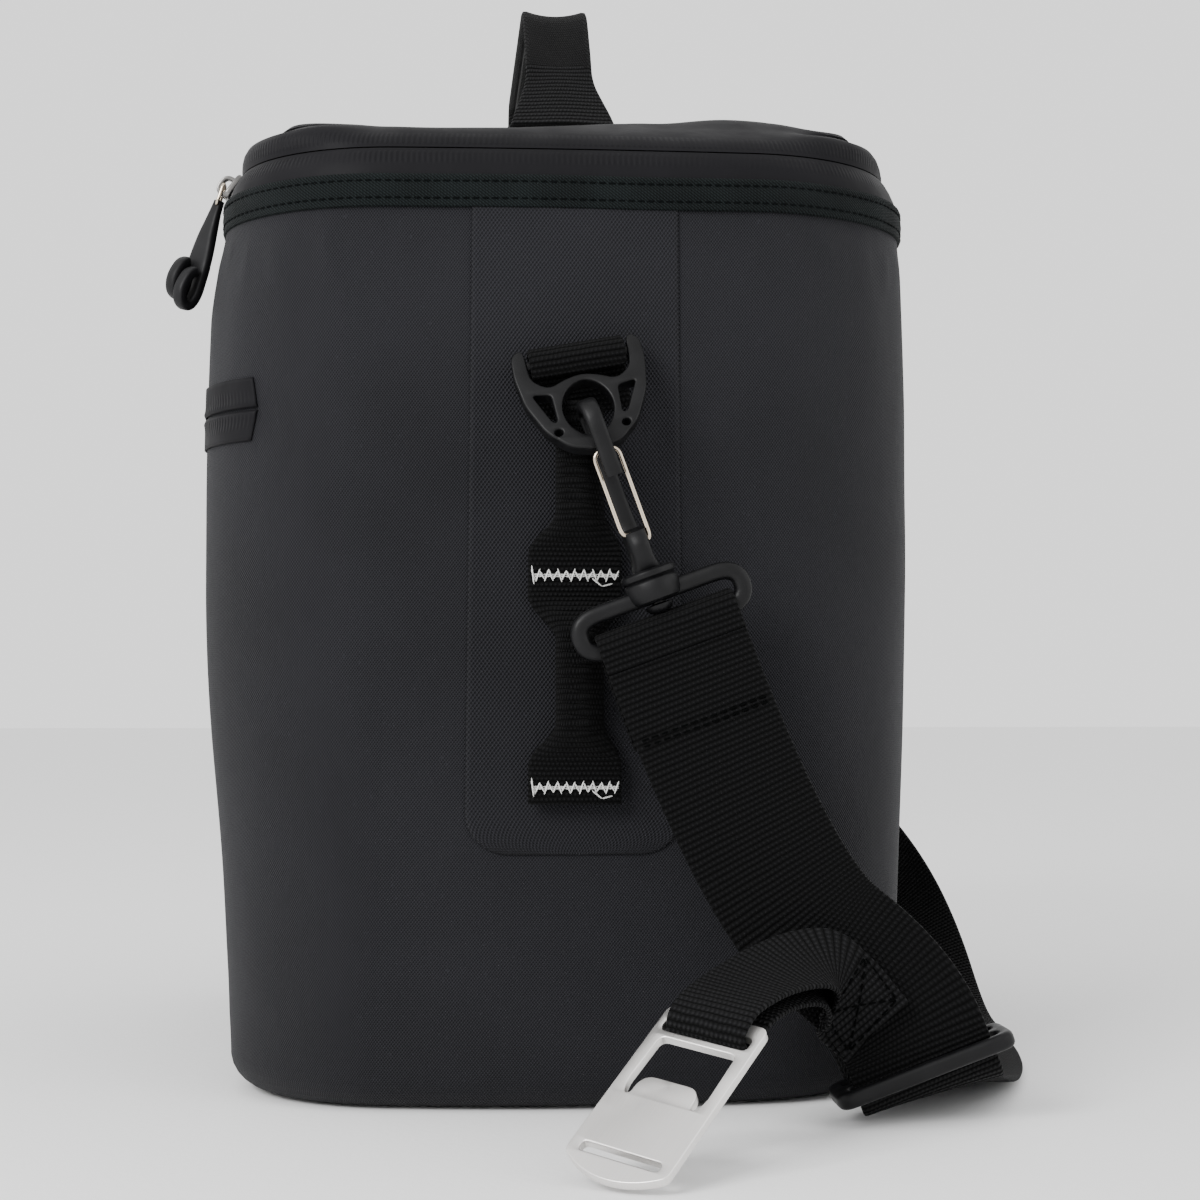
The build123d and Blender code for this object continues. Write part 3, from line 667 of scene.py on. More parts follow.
def quarter(half_x, half_y, end_bow):
    """Points and outward directions of a quarter of the outline, from +X round to +Y."""
    x, y = half_x - SIDE_BOW, half_y - end_bow
    side_r = (y * y + SIDE_BOW ** 2) / (2 * SIDE_BOW)
    end_r = (x * x + end_bow ** 2) / (2 * end_bow)
    side_c = np.array([half_x - side_r, 0.0])
    end_c = np.array([0.0, half_y - end_r])
    gap = end_c - side_c
    distance = np.linalg.norm(gap)
    ahead = gap / distance
    reach = ((side_r - CORNER_R) ** 2 - (end_r - CORNER_R) ** 2 + distance ** 2) / (2 * distance)
    rise = math.sqrt((side_r - CORNER_R) ** 2 - reach ** 2)
    corner_c = side_c + reach * ahead + rise * np.array([-ahead[1], ahead[0]])
    first = math.atan2(*(corner_c - side_c)[::-1])
    last = math.atan2(*(corner_c - end_c)[::-1])
    runs = [
        (side_c, side_r, np.linspace(0, first, STEPS_SIDE, endpoint=False)),
        (corner_c, CORNER_R, np.linspace(first, last, STEPS_CORNER, endpoint=False)),
        (end_c, end_r, np.linspace(last, math.pi / 2, STEPS_END, endpoint=False)),
        (end_c, end_r, np.array([math.pi / 2])),
    ]
    points, outward = [], []
    for centre, radius, angle in runs:
        direction = np.stack([np.cos(angle), np.sin(angle)], 1)
        points.append(centre + radius * direction)
        outward.append(direction)
    return np.vstack(points), np.vstack(outward)


def outline(z):
    """Closed outline at height z and its outward directions, starting at the middle of the +X side."""
    t = min(max(z, 0.0) / RIM_Z, 1.0)
    ends = ((BASE_X, RIM_X), (BASE_Y, RIM_Y), (BASE_END_BOW, RIM_END_BOW))
    made = []
    for part in quarter(*[low + (high - low) * t for low, high in ends]):
        there, back = part[:-1], part[::-1][:-1]
        made.append(np.vstack([there, back * (-1, 1), there * (-1, -1), back * (1, -1)]))
    return made


RIM_LINE, RIM_OUT = outline(RIM_Z)
COLUMNS = len(RIM_LINE)
ROUND = np.concatenate([[0.0], np.cumsum(np.linalg.norm(
    np.roll(RIM_LINE, -1, 0) - RIM_LINE, axis=1))])
NEAR_COLUMN = 3 * COLUMNS // 4


def pocket_flat(y, z):
    """1 on the front where the pocket's slider travels and its pull hangs, 0 away from there."""
    return fade(y, -104, -53) * fade(y, 140, 84) * fade(z, 95, 156) * fade(z, 238, 200)


def belly(z, line, outward):
    """How far the long sides swell outside the straight walls, the front more than the back."""
    front_side = outward[:, 0] < 0
    both = BELLY * np.sin(math.pi * np.clip(z / RIM_Z, 0, 1) ** 1.2) ** 1.3
    front = FRONT_BELLY * fade(z, 15, 140) * fade(z, 246, 214) * front_side
    held = 1.0 - pocket_flat(line[:, 1], z) * front_side
    return (both + front) * np.abs(outward[:, 0]) ** 2 * held


def rumple(points, size, stretch=1.0, seed=0.0):
    """Smooth noise at each point, -1 to 1, longer by stretch in Z."""
    made = [noise.noise(Vector((x / size + seed, y / size, z / (size * stretch)))) for x, y, z in points]
    return np.array(made)


def skin_lift(points):
    """Soft dents of the cloth: pulls under the binding, slack in the belly, creases at the base."""
    z = points[:, 2]
    pulls = 0.9 * fade(z, 165, TAPE_LOW_Z) * rumple(points, 15, 3.5)
    pulls = pulls + 1.3 * fade(z, 212, TAPE_LOW_Z) * np.maximum(rumple(points, 7.5, 3.0, 13.0), 0.0)
    slack = 1.0 * rumple(points, 60, 1.6, 7.0) + 0.35 * rumple(points, 22, 1.5, 3.0)
    base = 0.7 * fade(z, 45, 8) * rumple(points, 24, 0.8, 5.0)
    held = fade(z, TAPE_LOW_Z + 2, TAPE_LOW_Z - 10) * fade(z, 2, 14)
    held = held * (1.0 - pocket_flat(points[:, 1], z) * (points[:, 0] < 0))
    return (pulls + slack + base) * held


def ring(z, inset=0.0, skin=True, proud=0.0):
    """One closed line of the bag's surface at height z, drawn in by inset."""
    line, outward = outline(z)
    points = np.column_stack([line, np.full(COLUMNS, z)])
    out = -inset + proud
    if skin:
        out = out + belly(z, line, outward) + skin_lift(points)
    points[:, :2] += outward * np.reshape(out, (-1, 1)) if np.ndim(out) else outward * out
    return points


def shell_distance(rows):
    """Distance down the first point of each row, used as the second cloth coordinate."""
    return run_lengths(np.array([row[0] for row in rows]))


def on_ring(line, columns):
    """Points of a closed line at fractional columns."""
    return np.stack([np.interp(columns, np.arange(COLUMNS), line[:, k], period=COLUMNS)
                     for k in range(3)], 1)


def inward(start, height, shares):
    """Lines running in from a closed line to the middle spine of the bag, for its lid and its base."""
    reach = RIM_Y - RIM_X
    spine = np.column_stack([np.zeros(len(start)), np.clip(start[:, 1], -reach, reach), start[:, 2]])
    made = []
    for share in shares:
        line = start + (spine - start) * share
        line[:, 2] = height
        made.append(line)
    return made


def edge_inset(z, radius=BASE_EDGE_R):
    return radius - math.sqrt(max(radius ** 2 - (radius - min(z, radius)) ** 2, 0.0))


# ---------------------------------------------------------------- bag body

def make_shell():
    heights = [0.0, 0.35, 1.2, 2.6, 4.4, 6.6, 9.0, 12.0]
    heights += list(np.linspace(15, RIM_Z - 3, 86)) + [RIM_Z - 1.0]
    rows = [ring(z, edge_inset(z)) for z in heights]
    floor = inward(rows[0], 0.0, [1.0, 0.7, 0.4, 0.2, 0.1, 0.04])
    top = ring(RIM_Z, 1.2, skin=False)
    points = np.array(floor + rows + [top])
    v = [-90, -70, -45, -28, -16, -8] + heights + [RIM_Z]
    add_grid("bag_shell", points, ROUND, v, "bag", "shell_fabric", wrap_columns=True,
             replaces=["outer_front", "outer_back", "outer_near_end", "outer_far_end", "outer_base"])


def make_lining():
    """Inside of the bag: over the top of the padded wall, down it and across the floor."""
    stations = [(RIM_Z - 1.5, 1.5), (RIM_Z + 0.3, 2.6), (RIM_Z + 0.8, 6.0), (RIM_Z + 0.2, 9.4),
                (RIM_Z - 2.0, WALL), (RIM_Z - 6.0, WALL + 0.3)]
    stations += [(z, WALL + 0.4) for z in np.linspace(RIM_Z - 12, 30, 30)]
    stations += [(20.0, WALL + 1.0), (15.0, WALL + 3.0), (12.2, WALL + 6.5), (11.2, WALL + 11.0)]
    rows = []
    for z, inset in stations:
        line = ring(z, inset, skin=False)
        lift = (0.7 * rumple(line, 30, 2.0, 11.0) - 0.7) * fade(z, RIM_Z - 4, RIM_Z - 30)
        line[:, :2] -= RIM_OUT * lift[:, None]
        rows.append(line)
    rows += inward(rows[-1], FLOOR_Z, [0.25, 0.5, 0.75, 1.0])
    v = shell_distance(rows)
    foams = ["foam_front", "foam_back", "foam_near_end", "foam_far_end", "foam_base"]
    add_grid("inner_lining", np.array(rows), ROUND, v + 40.0, "bag", "liner_film", wrap_columns=True,
             replaces=["inner_liner"] + foams)


def make_binding():
    """Grosgrain tape folded over the rim seam, with two rows of stitches."""
    wave_up = 0.5 * rumple(np.column_stack([RIM_LINE, np.zeros(COLUMNS)]), 45, 1.0, 2.0)
    middle = (RIM_Z + TAPE_LOW_Z) / 2
    half = (RIM_Z - TAPE_LOW_Z) / 2
    profile = [(-half, 0.15), (-half + 0.25, 0.95), (-half + 1.0, 1.25), (-2.4, 1.0), (-1.6, 1.2),
               (0.0, 1.35), (1.6, 1.2), (2.4, 1.0), (half - 1.0, 1.25), (half - 0.2, 0.9), (half, 0.1),
               (half - 0.4, -0.7), (-half + 0.4, -0.7)]
    rows = []
    for height, proud in profile:
        z = middle + height + wave_up
        lift = 0.25 * rumple(np.column_stack([RIM_LINE, z]), 9, 1.0, 4.0) if proud > 0.5 else 0.0
        rows.append(np.column_stack([RIM_LINE + RIM_OUT * np.reshape(proud + lift, (-1, 1)), z]))
    rows = np.swapaxes(np.array(rows), 0, 1)
    u = np.array([height for height, proud in profile] + [profile[0][0]])
    add_grid("rim_binding", rows, u, ROUND, "bag", "binding_tape", wrap_rows=True, wrap_columns=True,
             replaces=["rim_tape"])
    for name, height in (("rim_stitches_upper", 2.4), ("rim_stitches_lower", -2.2)):
        line = np.column_stack([RIM_LINE + RIM_OUT * 1.12, middle + height + wave_up])
        starts, ends = dashes(np.vstack([line, line[:1]]), STITCH)
        add_stitches(name, starts, ends, 0.26, "bag", "binding_tape", TAPE_THREAD)


def surface_at(column, z, proud):
    """Points on the bag's skin at fractional columns and one height, standing proud of it."""
    return on_ring(ring(z, edge_inset(z), proud=proud), np.mod(column, COLUMNS))


def column_of(distance):
    """Fractional column at a distance round the outline from the middle of the near end."""
    start = ROUND[NEAR_COLUMN]
    total = ROUND[-1]
    return np.interp(np.mod(start + distance, total), ROUND, np.arange(COLUMNS + 1))


def make_patch():
    """Coarser cloth bonded on the end panel, with round lower corners."""
    half, corner = PATCH_HALF, PATCH_CORNER_R
    straight = PATCH_LOW_Z + corner
    heights = np.concatenate([PATCH_LOW_Z + corner * (1 - np.cos(np.linspace(0, math.pi / 2, 9)))[:-1],
                              np.linspace(straight, TAPE_LOW_Z + 1.0, 70)])
    share = np.linspace(-1, 1, 41)
    rows = []
    for z in heights:
        short = max(straight - z, 0.0)
        width = half - corner + math.sqrt(corner ** 2 - short ** 2)
        rows.append(surface_at(column_of(share * width), z, 0.55))
    rows = np.array(rows)
    piece = add_grid("near_patch_cloth", rows, share * half, heights, "bag", "patch_fabric",
                     replaces=["near_patch"])
    thicken(piece, 0.7, -1.0)
    thicken(add_far(piece), 0.7, -1.0)


def make_pocket_film():
    """Welded film strip of the front pocket's zip: two bands with the slit between, and pointed ends."""
    half = POCKET_FILM_HALF
    front_middle = -ROUND[COLUMNS // 4]
    reach = -front_middle - POCKET_FILM_END
    share = np.linspace(-1, 1, 220)
    for name, low, high in (("pocket_film_lower", -half, -0.3), ("pocket_film_upper", 0.3, half)):
        offsets = np.linspace(low, high, 9)
        rows = []
        for offset in offsets:
            point = 2.0 * (1 - abs(offset) / half)
            away = abs(offset)
            proud = 0.7 + 0.35 * math.exp(-((away - 1.0) / 1.2) ** 2) - 0.5 * math.exp(-(away / 0.5) ** 2)
            columns = column_of(front_middle + share * (reach + point))
            rows.append(surface_at(columns, POCKET_Z + offset, proud))
        piece = add_grid(name, np.array(rows), share * reach, offsets, "bag", "zip_film",
                         replaces=["pocket_zip"] if low < 0 else [])
        thicken(piece, 0.6, -1.0)


# ---------------------------------------------------------------- lid

LID_PROFILE = [(RIM_Z - 1.0, -0.1), (251.5, 0.6), (254.0, 1.7), (256.2, 3.0), (257.3, 3.9)]
END_RISE = [(257.7, 4.15), (259.0, 5.0), (260.6, 6.4), (262.2, 8.3), (263.6, 10.4), (264.8, 12.6),
            (265.6, 14.6), (266.2, 16.6), (266.8, 19.0), (267.5, 21.5), (268.3, 24.5), (269.1, 28.0),
            (269.7, 31.0), (270.0, LID_FLAT_INSET)]
CORNER_RISE = [(257.70, 4.10), (259.6, 4.0), (261.4, 4.1), (263.1, 4.5), (264.6, 5.3), (265.8, 6.6),
               (266.6, 8.4), (267.1, 10.6), (267.5, 13.4), (267.9, 17.0), (268.3, 21.0), (268.8, 25.5),
               (269.4, 29.5), (270.0, LID_FLAT_INSET)]
TUCK_RISE = [(257.70, 4.10), (259.6, 4.0), (261.4, 4.0), (263.1, 4.3), (264.5, 5.2), (265.2, 7.0),
             (265.1, 10.5), (265.3, 12.6), (266.2, 11.2), (267.3, 10.4), (268.4, 11.6), (269.0, 15.5),
             (269.4, 22.0), (270.0, LID_FLAT_INSET)]


def hump(points):
    """Height of the puffs in the lid's film, kept off the handle's feet."""
    x, y = points[:, 0], np.abs(points[:, 1])
    near = points[:, 1] < 0
    puffs = 2.2 * hill(x, 8, 17) + 3.8 * hill(x, 47, 21) - 1.6 * hill(x, -74, 24) - 0.8 * hill(x, -30, 24)
    puffs = np.where(near, puffs, 3.4 * hill(x, -34, 22) + 2.6 * hill(x, 40, 20)) * hill(y, 122, 17)
    slack = 1.1 * rumple(points, 38, 1.0, 9.0) + 0.6 * rumple(points, 17, 1.0, 1.0)
    foot = fade(np.hypot(x / 22.0, (y - 95.0) / 24.0), 0.85, 1.5)
    return (puffs + slack) * foot


CORNER_ANGLE = np.abs(np.abs(np.degrees(np.arctan2(RIM_OUT[:, 1], RIM_OUT[:, 0]))) - 90.0)


def lid_row(end, corner, tuck):
    """One closed line of the lid's film: low at the ends, square-shouldered and tucked at the corners."""
    full = fade(CORNER_ANGLE, 6.0, 42.0) * (1.0 - 0.3 * (RIM_OUT[:, 0] > 0))
    tucked = hill(CORNER_ANGLE, 52.0, 22.0)
    z, inset = [end[k] + (corner[k] - end[k]) * full for k in (0, 1)]
    z, inset = [own + (to - own) * tucked for own, to in ((z, tuck[0]), (inset, tuck[1]))]
    points = np.column_stack([RIM_LINE - RIM_OUT * inset[:, None], z])
    points[:, 2] += hump(points) * fade(inset, 10.0, 26.0)
    swell = 0.5 * rumple(points, 26, 0.7, 6.0) * fade(inset, 4.5, 9.0)
    points[:, :2] += RIM_OUT * swell[:, None]
    return points


def make_zip_bands():
    inner = [(257.0, 5.6), (254.0, 3.4), (RIM_Z + 0.6, 1.6)]
    rows = [ring(z, inset, skin=False) for z, inset in LID_PROFILE + inner]
    v = shell_distance(rows)
    v = v - v[len(LID_PROFILE) - 1]
    add_grid("zip_film_lower", np.array(rows), ROUND, v, "bag", "zip_film", wrap_columns=True,
             replaces=["zip_lower_band"])
    rows = [ring(257.9, 6.0, skin=False)]
    rows += [lid_row(*stations) for stations in zip(END_RISE, CORNER_RISE, TUCK_RISE)]
    shares = [0.08, 0.18, 0.3, 0.44, 0.58, 0.72, 0.86, 1.0]
    middle = inward(rows[-1], LID_FLAT_Z, shares)
    for line in middle:
        line[:, 2] += hump(line) + 1.2 * fade(np.abs(line[:, 0]), 70, 10)
    rows += middle
    v = shell_distance(rows)
    v = v - v[1]
    add_grid("lid_cover", np.array(rows), ROUND, v, "lid", "zip_film", wrap_columns=True,
             replaces=["zip_upper_band", "lid_skin"])


def make_lid_lining():
    """Under side of the padded lid."""
    stations = [(258.4, 15.2), (257.8, 17.0), (257.9, 20.0), (258.6, 26.0), (259.0, LID_FLAT_INSET)]
    rows = [ring(z, inset, skin=False) for z, inset in [(262.0, 12.6), (259.6, 14.4)] + stations]
    rows += inward(rows[-1], LID_UNDER_Z, [0.2, 0.4, 0.6, 0.8, 1.0])
    for line in rows[4:]:
        line[:, 2] += 0.6 * rumple(line, 40, 1.0, 12.0)
    add_grid("lid_lining", np.array(rows), ROUND, shell_distance(rows) + 40.0, "lid", "liner_film",
             wrap_columns=True, replaces=["lid_foam", "lid_liner"])


def make_hinge_film():
    """Film that joins the two bands along the back, where the zip doesn't run."""
    columns = np.linspace(ROUND[0] - 86.0, ROUND[0] + 86.0, 60)
    index = np.interp(np.mod(columns, ROUND[-1]), ROUND, np.arange(COLUMNS + 1))
    stations = [(255.6, 2.5), (256.6, 3.15), (257.5, 3.7), (258.4, 4.35), (259.4, 5.4)]
    rows = []
    for z, inset in stations:
        line = ring(z, inset, skin=False, proud=0.5)
        rows.append(on_ring(line, index))
    piece = add_grid("hinge_film", np.array(rows), columns, [9, 10, 11, 12, 13], None, "zip_film")
    thicken(piece, 0.5, -1.0)
    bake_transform(piece)


# ---------------------------------------------------------------- carry handle

HANDLE_FOOT_Y = 95.0
HANDLE_TOP_Z = 320.5


def handle_line(step=1.6):
    foot = 271.9
    top = HANDLE_TOP_Z - 1.2
    points = [(0, -HANDLE_FOOT_Y - 14, foot), (0, -HANDLE_FOOT_Y + 1, foot), (-1, -59, top),
              (-1, 59, top), (0, HANDLE_FOOT_Y - 1, foot), (0, HANDLE_FOOT_Y + 14, foot)]
    return soft_path(points, 8.0, step=step)


def make_handle():
    line = handle_line()
    gripped = fade(line[:, 2], 291.0, 303.0)
    width = 32.0 - 12.2 * fade(line[:, 2], 272.0, 297.0)
    sections = []
    for share, wide in zip(gripped, width):
        thick = 2.0 + 0.9 * share
        flat = strip_section(wide, thick, 14)
        cup = 1.9 * share * (2 * flat[:, 0] / wide) ** 2 - 0.5 * share
        pull = 0.8 * (1 - share) * np.cos(flat[:, 0] / wide * 2 * math.pi)
        sections.append(np.column_stack([flat[:, 0], -(flat[:, 1] + cup + 0.3 * pull)]))
    piece = sweep("handle_strap", line, (1, 0, 0), np.array(sections), None, "webbing",
                  material=FOOT_WEBBING, replaces=["handle_webbing", "handle_feet"])
    piece.data.materials.append(MATERIALS["grip_webbing"])
    for face in piece.data.polygons:
        if face.center.z > 0.2985:
            face.material_index = 1
    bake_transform(piece)
    under = soft_path([(0, -50, HANDLE_TOP_Z - 5.6), (0, 50, HANDLE_TOP_Z - 5.6)], 1.0, step=2.5)
    section = oval_section(9.2, 2.6, 20, 0.6)
    sweep("handle_inner_ply", under, (1, 0, 0), section, "handle", "grip_webbing",
          replaces=["handle_grip"])
    starts, ends = [], []
    for offset in (-1.6, 1.6):
        row = [(offset - 1.0, y, HANDLE_TOP_Z - 0.25) for y in (-50, 50)]
        row_start, row_end = dashes(row, 3.0)
        starts += list(row_start)
        ends += list(row_end)
    add_stitches("handle_stitches", starts, ends, STITCH_R, "handle", "grip_webbing", DARK_THREAD)


def make_handle_feet():
    """Plates sewn under the handle's feet and the crossed stitching that holds them."""
    starts, ends = [], []
    for side in (-1, 1):
        centre = np.array([0, side * HANDLE_FOOT_Y, 270.7])
        place = Matrix.Translation(Vector(centre))
        loop = rounded_loop([(-17, -18), (17, -18), (17, 18), (-17, 18)], 2.5)
        name = "handle_tab_near" if side < 0 else "handle_tab_far"
        add_plate(name, [loop], 1.5, 0.5, place, "lid", "webbing",
                  replaces=["handle_anchors"] if side < 0 else ())
        corners = [(-12, 3), (12, 3), (12, 12), (-12, 12)]
        box = [(x, side * (HANDLE_FOOT_Y + y - 1), 273.0) for x, y in corners]
        for first, last in BOX_STITCH:
            row_start, row_end = dashes([box[first], box[last]], STITCH)
            starts += list(row_start)
            ends += list(row_end)
    add_stitches("handle_tab_stitches", starts, ends, STITCH_R, "lid", "webbing", DARK_THREAD)


# ---------------------------------------------------------------- zip sliders and pulls

def slider_place(x, y, z, lean):
    return Matrix.Translation((x, y, z)) @ Matrix.Rotation(lean, 4, "Y")


def make_slider(name, place, length, height, pin_x, node, body):
    """Slider plate across the slit with the bridge that holds the pull."""
    turned = place @ Matrix.Rotation(math.radians(-90), 4, "Y")
    plate = rounded_loop([(-height / 2, -length / 2), (height / 2, -length / 2 + 1.5),
                          (height / 2, length / 2 - 1.5), (-height / 2, length / 2)], 2.4, 0.8)
    add_plate(name + "_plate", [plate], 2.0, 0.6, turned @ Matrix.Translation((0, 0, 1.0)), body,
              "nickel_slider", replaces=[node])
    arch = soft_path([(-1.6, 0, -3.2), (pin_x - 1.0, 0, -3.0), (pin_x - 1.0, 0, 2.0), (-1.6, 0, 2.4)], 2.0,
                     step=0.5)
    sweep(name + "_bridge", arch, (0, 1, 0), oval_section(1.5, 0.7, 12, 0.7), body, "nickel_slider",
          place=place)


def make_pull(name, place, width, length, twist, node, body):
    """Wire link and a moulded grip that widens, twists and ends in two curled fingers."""
    half = 2.3
    link = soft_path([(0, -half, 0.0), (0, half, 0.0), (-0.2, half, -6.2), (-0.2, -half, -6.2)], 1.2,
                     step=0.5, closed=True)
    sweep(name + "_link", link, (1, 0, 0), oval_section(0.55, 0.55, 10), body, "nickel_wire",
          closed=True, place=place, replaces=[node])
    turned = place @ Matrix.Rotation(twist, 4, "Z")
    fork = 12.0 - length
    stem_line = resampled(np.array([(0, 0, -5.0), (-0.2, 0, -9.0), (-0.3, 0, fork * 0.6), (0, 0, fork)],
                                   float), 0.8)
    share = np.linspace(0, 1, len(stem_line))
    half_wide = width * (0.17 + 0.33 * fade(share, -0.1, 1.0))
    half_thick = 1.1 + 0.5 * fade(share, 0.0, 0.6)
    shape = oval_section(1.0, 1.0, 20, 0.5)
    sections = shape[None] * np.stack([half_wide, half_thick], 1)[:, None]
    sweep(name + "_grip", stem_line, (0, 1, 0), sections, body, "rubber_pull", place=turned)
    for side, reach, label in ((-1, 1.0, "left"), (1, 0.93, "right")):
        y = side * width * 0.27
        low = -length * reach
        curl = [(0, y, fork + 1.0), (0.2, y, low + 4.0), (-1.4, y, low), (-4.6, y, low + 0.6),
                (-6.0, y, low + 4.4), (-4.6, y, low + 9.4), (-2.8, y, low + 10.4)]
        line = soft_path(curl, 2.4, step=0.6)
        sweep(f"{name}_finger_{label}", line, (0, 1, 0), oval_section(width * 0.23, 1.5, 16, 0.55),
              body, "rubber_pull", place=turned)


def make_zips():
    place = slider_place(-(RIM_X - SLIT_INSET) - 1.0, MAIN_SLIDER_Y, SLIT_Z, SLIDER_LEAN)
    make_slider("main_slider", place, 17.0, 8.2, MAIN_PIN_X, "main_zip_slider", "main_slider")
    hang = Matrix.Rotation(PULL_SWING - SLIDER_LEAN, 4, "Y")
    pin = place @ Matrix.Translation((MAIN_PIN_X, 0, -0.5)) @ hang
    make_pull("main_pull", pin, 8.5, 38.0, PULL_TWIST, "main_zip_pull", "main_pull")
    pocket_x = -(RIM_X + 0.8) + 0.4
    place = slider_place(pocket_x, POCKET_SLIDER_Y, POCKET_Z, 0.0)
    make_slider("pocket_slider_small", place, 14.0, 8.0, POCKET_PIN_X, "pocket_slider", "pocket_slider_body")
    pin = place @ Matrix.Translation((POCKET_PIN_X, 0, 0))
    make_pull("pocket_pull_small", pin, 6.5, 24.0, 0.0, "pocket_pull", "pocket_pull_body")
    for side, label in ((-1, "near"), (1, "far")):
        loop = rounded_loop([(-5, -2.5), (5, -2.5), (5, 2.5), (-5, 2.5)], 1.6)
        turn = Matrix.Rotation(math.radians(90), 4, "Z") @ Matrix.Rotation(math.radians(64), 4, "X")
        at = Matrix.Translation((RIM_X - 1.6, side * ZIP_STOP_Y, SLIT_Z - 3.0)) @ turn
        add_plate("zip_stop_" + label, [loop], 1.6, 0.5, at, "bag", "zip_film",
                  replaces=["zip_end_stops"] if side < 0 else ())


# ---------------------------------------------------------------- end hardware

def dring_place():
    """Frame with x across, y up the ring and z towards the panel's outside."""
    upright = Matrix.Rotation(math.radians(90), 4, "X")
    return (Matrix.Translation(DRING_AT) @ Matrix.Rotation(DRING_ROLL, 4, "Y")
            @ Matrix.Rotation(DRING_LEAN, 4, "X") @ upright)


def make_dring():
    right = [(17.4, 2.6), (17.6, -4.0), (16.2, -13.0), (12.2, -22.0), (6.8, -27.4), (0, -29.2)]
    slot_low = [(9.0, -8.8), (4.6, -6.6), (0, -5.5), (-4.6, -6.6), (-9.0, -8.8)]
    body_loop = [(-13.6, 3.4), (-15.2, 4.6)] + [(-x, y) for x, y in right] + right[:-1][::-1]
    body_loop += [(15.2, 4.6), (13.6, 3.4), (13.2, -5.6)] + slot_low + [(-13.2, -5.6)]
    angle = np.linspace(0, 2 * math.pi, 36, endpoint=False)
    hole = np.stack([6.7 * np.cos(angle), -16.2 + 8.5 * np.sin(angle) * (1 - 0.06 * np.cos(angle) ** 2)], 1)
    loops = [soft_path(body_loop, 2.2, closed=True, step=0.5), hole]
    for side in (-1, 1):
        window = [(side * 13.9, -10.0), (side * 8.9, -10.8), (side * 8.6, -19.4), (side * 9.9, -19.2)]
        loops.append(rounded_loop(window, 1.3, 0.4))
        loops.append(np.stack([side * 8.9 + 1.1 * np.cos(angle[::3]), -22.6 + 1.1 * np.sin(angle[::3])], 1))
    near = add_plate("near_ring", loops, 4.2, 0.55, dring_place(), "near_dring_body", "moulded_plastic",
                     replaces=["near_dring"])
    bar = resampled(np.array([(-14.2, 0, 0), (14.2, 0, 0)], float), 2.0)
    rod = sweep("near_ring_bar", bar, (0, 1, 0), oval_section(1.7, 1.7, 14), "near_dring_body",
                "moulded_plastic", place=dring_place())
    for piece in (near, rod):
        add_far(piece)


def make_ring_loop():
    """Webbing that goes round the ring's bar, both plies sewn down on the panel."""
    line = [(0, 4.15, -14.0), (0, 4.1, -6.0)] + [(0, 3.8 * math.cos(a), 3.8 * math.sin(a))
                                                for a in np.linspace(-0.2, 4.0, 24)]
    place = Matrix.Translation(DRING_AT) @ Matrix.Rotation(DRING_ROLL, 4, "Y")
    path = resampled(np.array(line, float), 0.8)
    piece = sweep("near_ring_loop", path, (1, 0, 0), strip_section(25.6, 1.7, 12), "bag", "webbing",
                  material=FINE_WEBBING, place=place, replaces=["near_dring_loop"])
    add_far(piece)


def make_daisy():
    """Webbing pinched between its bar tacks: flat and full width at a tack, an arched fold between."""
    knots = [DAISY_TOP_Z + 2.0, TACK_Z[0], TACK_Z[1], TACK_Z[1] - 4.5]
    z_line = np.linspace(knots[0], knots[-1], 130)
    share = np.linspace(-1, 1, 25)
    rows = []
    for z in z_line:
        flat = max(float(fade(abs(z - TACK_Z[0]), 17.0, 5.5)), float(fade(abs(z - TACK_Z[1]), 17.0, 5.5)),
                   float(fade(z, TACK_Z[1] + 3, TACK_Z[1])))
        half = 12.2 * flat + 5.6 * (1 - flat)
        high = 0.9 * flat + 7.4 * (1 - flat)
        centre = -0.3 * flat + 1.3 * (1 - flat)
        arch = np.sign(1 - np.abs(share)) * np.abs(1 - np.abs(share) ** 3.0) ** 0.8
        across = centre + half * np.sign(share) * np.abs(share) ** (0.75 + 0.25 * flat)
        across = across - 2.6 * (1 - flat) * arch
        ruck = 0.45 * (1 - flat) * np.sin(z * 1.9 + share * 2.0) + 0.5 * flat * (1 - flat) * 4 * np.sin(
            z * 0.9 + np.abs(share) * 4.0) * 0.5
        out = 0.9 + high * arch + ruck * arch
        rows.append(np.column_stack([across, PANEL_Y - out, np.full(len(share), z)]))
    rows = np.array(rows)
    piece = add_grid("near_daisy_strap", rows, share * DAISY_WIDTH / 2, z_line[0] - z_line, "bag", "webbing",
                     material=FINE_WEBBING, replaces=["near_daisy_webbing"])
    thicken(piece, 1.3, 0.0)
    thicken(add_far(piece), 1.3, 0.0)


